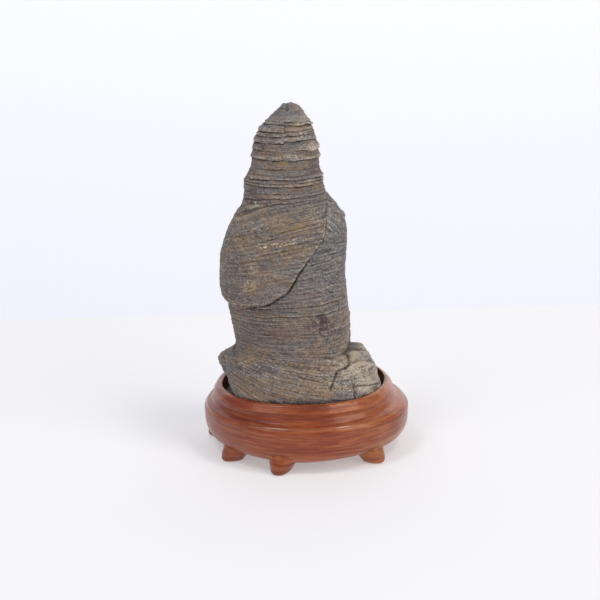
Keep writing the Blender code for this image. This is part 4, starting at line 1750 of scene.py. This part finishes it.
@dataclass(frozen=True)
class BeddedLimestone:
    """Limestone, naturally weathered: thin beds of different greys and browns, open and matt, so
    the eye sees fine streaks along the beds, painted shade in the clefts and under the lips, and
    paler lips, partly worn and partly a painted highlight."""

    grey_brown: str = "#736d6b"
    warm_brown: str = "#826d5f"
    ochre: str = "#977b58"
    slate: str = "#64676d"
    umber: str = "#5b4746"
    pale: str = "#c0b3a2"
    fleck: str = "#dccfb4"
    # colour of the painted shade in the hollows, cracks and clefts
    cleft: str = "#231d1b"
    # thin layers and grains, darker and lighter than the stone round them
    veins: tuple[Vein, ...] = (
        Vein("laminae", 0.49, 0.3, "#49403b", 0.42),
        Vein("laminae", 0.53, 0.7, "#9a9084", 0.35),
        Vein("streaks", 0.46, 0.3, "#49403b", 0.4),
        Vein("streaks", 0.54, 0.7, "#9a9084", 0.35),
        Vein("grains", 0.5, 0.32, "#49403b", 0.5),
        Vein("grains", 0.53, 0.7, "#9a9084", 0.46),
    )
    roughness: float = 0.88
    ior: float = 1.5
    clouds: Point = (11.0, 11.0, 6.0)  # mm, warmer and cooler stone
    mottles: Point = (3.8, 3.8, 2.4)
    laminae: Point = (26.0, 26.0, 1.15)  # mm, long thin layers of one bed
    streaks: Point = (7.0, 7.0, 0.6)
    grains: Point = (0.9, 0.9, 0.8)  # mm, coarser than the real grains so that they show
    # how much of a colour covers where it is strongest
    cool_mottles: float = 0.6
    warm_mottles: float = 0.5
    rubbed_and_lit: float = 0.8
    flecked: float = 0.85
    painted_shade_share: float = 0.8
    bump_depth: float = 0.32  # mm
    bump_strength: float = 0.9
    grain_bump: float = 0.6  # of the grains, against 1 for the streaks

    def material(self) -> bpy.types.Material:
        """Builds the stone's material."""
        material, tree, shader = new_material("weathered_bedded_limestone")
        paint = Painter(tree)
        beds = paint.trait(Trait.BED_PLACE, "Vector")
        clouds = paint.pattern(beds, self.clouds, 4.0)
        mottles = paint.pattern(beds, self.mottles, 3.0, 0.65)
        grains = paint.pattern(beds, self.grains, 2.0, 0.7)
        patterns = {
            "laminae": paint.pattern(beds, self.laminae, 2.0),
            "streaks": paint.pattern(beds, self.streaks, 1.0),
            "grains": grains,
        }
        colour = paint.layer(self.grey_brown, self.warm_brown, paint.share(clouds, 0.42, 0.58))
        cool = paint.times(paint.share(mottles, 0.5, 0.36), self.cool_mottles)
        colour = paint.layer(colour, self.slate, cool)
        warm = paint.times(paint.share(mottles, 0.52, 0.66), self.warm_mottles)
        colour = paint.layer(colour, self.ochre, warm)
        broken = paint.share(mottles, 0.28, 0.58)
        for trait, tint in (
            (Trait.PALE, self.pale),
            (Trait.OCHRE, self.ochre),
            (Trait.SLATE, self.slate),
            (Trait.UMBER, self.umber),
        ):
            colour = paint.layer(colour, tint, paint.times(paint.trait(trait), broken))
        colour = paint.veined(colour, patterns, self.veins)
        # pale lips: partly real wear, partly a painted highlight
        lips = paint.times(paint.trait(Trait.LIP), paint.share(grains, 0.32, 0.62))
        colour = paint.layer(colour, self.pale, paint.times(lips, self.rubbed_and_lit))
        bright = paint.times(paint.trait(Trait.FLECK), paint.share(grains, 0.44, 0.6))
        colour = paint.layer(colour, self.fleck, paint.times(bright, self.flecked))
        # painted shade in the hollows, cracks and clefts
        hollow = paint.times(paint.trait(Trait.PAINTED_SHADE), self.painted_shade_share)
        colour = paint.layer(colour, self.cleft, hollow)
        tree.links.new(colour, shader.inputs["Base Color"])

        height = paint.maths("ADD", patterns["streaks"], paint.times(grains, self.grain_bump))
        paint.bump(shader, height, self.bump_depth, self.bump_strength)
        shader.inputs["Roughness"].default_value = self.roughness
        shader.inputs["IOR"].default_value = self.ior
        return material


@dataclass(frozen=True)
class WaxedRosewood:
    """Rosewood, turned, carved, oiled and waxed: red-brown with darker growth streaks that run
    round the turned form and short dark pores, so the eye sees long fine lines under a satin
    shine."""

    red_brown: str = "#8e3c22"
    orange_brown: str = "#a4552f"
    # red of the painted shade
    deep: str = "#782817"
    # pale colour of real wear, also laid as painted light towards the lit right
    worn: str = "#b27845"
    shade: str = "#120705"
    # darker and lighter growth streaks, and on top of them the open pores
    veins: tuple[Vein, ...] = (
        Vein("growth", 0.5, 0.32, "#562418", 0.44),
        Vein("growth", 0.54, 0.68, "#b36d45", 0.32),
        Vein("fine", 0.48, 0.32, "#562418", 0.36),
        Vein("fine", 0.54, 0.68, "#b36d45", 0.32),
        Vein("hairs", 0.48, 0.3, "#562418", 0.42),
        Vein("pores", 0.38, 0.28, "#2c0f0b", 0.4),
    )
    roughness: float = 0.34
    streak_roughness: Pair = (0.09, -0.06)  # added to it in the dark and in the light streaks
    ior: float = 1.5
    coat: float = 0.42
    coat_roughness: float = 0.06
    amber: str = "#ffcdb0"  # what the oil in the wood leaves of the light that it throws back
    broad: Point = (26.0, 26.0, 5.5)  # mm, along the grain twice and through the layers
    growth: Point = (34.0, 34.0, 2.0)
    fine: Point = (16.0, 16.0, 0.75)
    hairs: Point = (6.0, 6.0, 0.4)
    pores: Point = (2.2, 2.2, 0.34)  # mm, a little wider than real pores so that they show
    # how much of a colour covers where it is strongest
    painted_red_shade_share: float = 0.7
    rubbed_and_lit: float = 0.7
    painted_shade_share: float = 0.96
    bump_depth: float = 0.05  # mm
    bump_strength: float = 0.6
    hair_bump: float = 0.4  # of the hairs, against 1 for the pores

    def material(self) -> bpy.types.Material:
        """Builds the stand's material."""
        material, tree, shader = new_material("oiled_and_waxed_rosewood")
        paint = Painter(tree)
        block = paint.trait(Trait.GRAIN_PLACE, "Vector")
        broad = paint.pattern(block, self.broad, 2.0, 0.5)
        patterns = {
            name: paint.pattern(block, getattr(self, name), 1.0)
            for name in ("growth", "fine", "hairs", "pores")
        }
        colour = paint.layer(self.red_brown, self.orange_brown, paint.share(broad, 0.4, 0.62))
        # painted shade, deepening the red
        deep = paint.times(paint.trait(Trait.PAINTED_RED_SHADE), self.painted_red_shade_share)
        colour = paint.layer(colour, self.deep, deep)
        # real wear, with painted light towards the lit right
        worn = paint.times(paint.trait(Trait.WORN_AND_LIT), self.rubbed_and_lit)
        colour = paint.layer(colour, self.worn, worn)
        colour = paint.veined(colour, patterns, self.veins)
        # painted shade inside the recess, where no light gets in
        hollow = paint.times(paint.trait(Trait.PAINTED_SHADE), self.painted_shade_share)
        colour = paint.layer(colour, self.shade, hollow)
        tree.links.new(colour, shader.inputs["Base Color"])

        in_dark, in_light = self.streak_roughness
        reach = {
            "From Min": 0.3,
            "From Max": 0.7,
            "To Min": self.roughness + in_dark,
            "To Max": self.roughness + in_light,
        }
        gloss = add_node(tree, "ShaderNodeMapRange", None, reach, {"Value": patterns["growth"]})
        tree.links.new(gloss.outputs[0], shader.inputs["Roughness"])
        open_pores = paint.share(patterns["pores"], 0.38, 0.28)
        hairs = paint.times(patterns["hairs"], self.hair_bump)
        height = paint.maths("SUBTRACT", hairs, open_pores)
        paint.bump(shader, height, self.bump_depth, self.bump_strength)
        shader.inputs["IOR"].default_value = self.ior
        shader.inputs["Specular Tint"].default_value = linear(self.amber)
        shader.inputs["Coat Weight"].default_value = self.coat
        shader.inputs["Coat Roughness"].default_value = self.coat_roughness
        return material


@dataclass(frozen=True)
class StudioPaper:
    """Matt coated paper of the table and the backdrop, lit from behind: a plain pale sheet with
    no shine, on which shadows stay light."""

    name: str
    colour: str
    roughness: float = 0.75
    glow: float = 0.0  # light that a lit sheet lets through from behind

    def material(self) -> bpy.types.Material:
        """Builds the sheet's material."""
        material, _, shader = new_material(self.name)
        shader.inputs["Base Color"].default_value = linear(self.colour)
        shader.inputs["Roughness"].default_value = self.roughness
        shader.inputs["Emission Color"].default_value = linear(self.colour)
        shader.inputs["Emission Strength"].default_value = self.glow
        return material


# ---------------------------------------------------------------- the studio


@dataclass(frozen=True)
class Lamp:
    """A square soft lamp: its name, place and size in metres, power in watts, and colour."""

    name: str
    place: Point
    size: float
    power: float
    colour: str


@dataclass
class Studio:
    """Pale table and backdrop, soft lamps and the camera."""

    half_width: float = 3.0  # of the sheets
    # places along Y and heights of the sheets' edges
    table_front: Pair = (-3.0, 0.0)
    table_back: Pair = (0.211, 0.0)
    apron_end: Pair = (0.85, -0.23)
    wall_foot: Pair = (1.6, -0.9)
    wall_top: Pair = (1.6, 2.6)
    table_paper: StudioPaper = StudioPaper("matt_table_paper", "#cbcacb", glow=0.56)
    wall_paper: StudioPaper = StudioPaper("matt_backdrop_paper", "#f4f5fb", glow=0.44)
    aim: Point = (0.0, 0.0, 0.08)
    lamps: tuple[Lamp, ...] = (
        Lamp("lamp_right", (1.9, -1.6, 1.5), 1.8, 25.6, "#fffaf4"),
        Lamp("lamp_left", (-1.9, -1.7, 1.8), 1.6, 10.6, "#f6f9ff"),
        Lamp("lamp_over_left", (-0.52, -0.4, 1.45), 0.34, 4.4, "#ffffff"),
        Lamp("lamp_over_right", (0.62, -0.4, 1.45), 0.34, 5.4, "#ffffff"),
    )
    sky_colour: str = "#f4f6ff"
    sky_strength: float = 0.35
    camera_place: Point = (-0.0018, -0.8038, 0.3329)
    camera_pitch: float = 17.755
    camera_roll: float = -1.5
    camera_lens: float = 102.0
    sensor_width: float = 36.0

    def build_sheet(self, name: str, near: Pair, far: Pair, finish: StudioPaper) -> None:
        """Flat sheet from one edge to another.

        Args:
            name: the sheet's name.
            near: its near or lower edge, as a place along Y and a height.
            far: its far or upper edge.
            finish: what it is made of.
        """
        side = self.half_width
        corners = [(-side, *near), (side, *near), (side, *far), (-side, *far)]
        mesh = bpy.data.meshes.new(name)
        mesh.from_pydata(corners, [], [(0, 1, 2, 3)])
        mesh.materials.append(finish.material())
        new_object(name, mesh)

    def build_stage(self) -> None:
        """Lays the table, whose paper falls away behind its back edge, and hangs the backdrop so
        far behind it that the stone can also be seen from there."""
        self.build_sheet("table", self.table_front, self.table_back, self.table_paper)
        self.build_sheet("table_apron", self.table_back, self.apron_end, self.table_paper)
        self.build_sheet("backdrop", self.wall_foot, self.wall_top, self.wall_paper)

    def build_lamps(self) -> None:
        """Sets the soft lamps and the even light of the room."""
        scene = bpy.context.scene
        for lamp in self.lamps:
            light = bpy.data.lights.new(lamp.name, "AREA")
            light.size = lamp.size
            light.energy = lamp.power
            light.color = linear(lamp.colour)[:3]
            holder = bpy.data.objects.new(lamp.name, light)
            holder.location = lamp.place
            towards = Vector(self.aim) - Vector(lamp.place)
            holder.rotation_euler = towards.to_track_quat("-Z", "Y").to_euler()
            scene.collection.objects.link(holder)
        world = bpy.data.worlds.new("even_room_light")
        world.use_nodes = True
        sky = world.node_tree.nodes["Background"]
        sky.inputs["Color"].default_value = linear(self.sky_colour)
        sky.inputs["Strength"].default_value = self.sky_strength
        scene.world = world

    def build_camera(self) -> None:
        """Sets the camera, slightly above the stone and looking down on the stand."""
        camera = bpy.data.cameras.new("camera")
        camera.lens = self.camera_lens
        camera.sensor_width = self.sensor_width
        holder = bpy.data.objects.new("camera", camera)
        bpy.context.scene.collection.objects.link(holder)
        pitch = Matrix.Rotation(math.radians(90.0 - self.camera_pitch), 4, "X")
        roll = Matrix.Rotation(math.radians(self.camera_roll), 4, "Z")
        holder.matrix_world = Matrix.Translation(self.camera_place) @ pitch @ roll
        bpy.context.scene.camera = holder

    def build(self) -> None:
        """Builds the stage, the lamps and the camera."""
        self.build_stage()
        self.build_lamps()
        self.build_camera()
        bpy.context.scene.view_settings.view_transform = "Standard"
        log.info("studio: %d lamps", len(self.lamps))


def main() -> None:
    """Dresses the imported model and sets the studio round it."""
    logging.basicConfig(level=logging.INFO, format="%(name)s %(message)s")
    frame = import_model()
    log.info("frame: %s", ", ".join(sorted(frame["nodes"])))

    form = StoneForm()
    stone = ScholarsStone(form, StoneRelief(form)).build(BeddedLimestone())
    stand = CarvedStand().build(WaxedRosewood())
    for piece, node in ((stone, "rock"), (stand, "stand")):
        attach(piece, BODY)
        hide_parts(node)
    Studio().build()


if __name__ == "__main__":
    main()
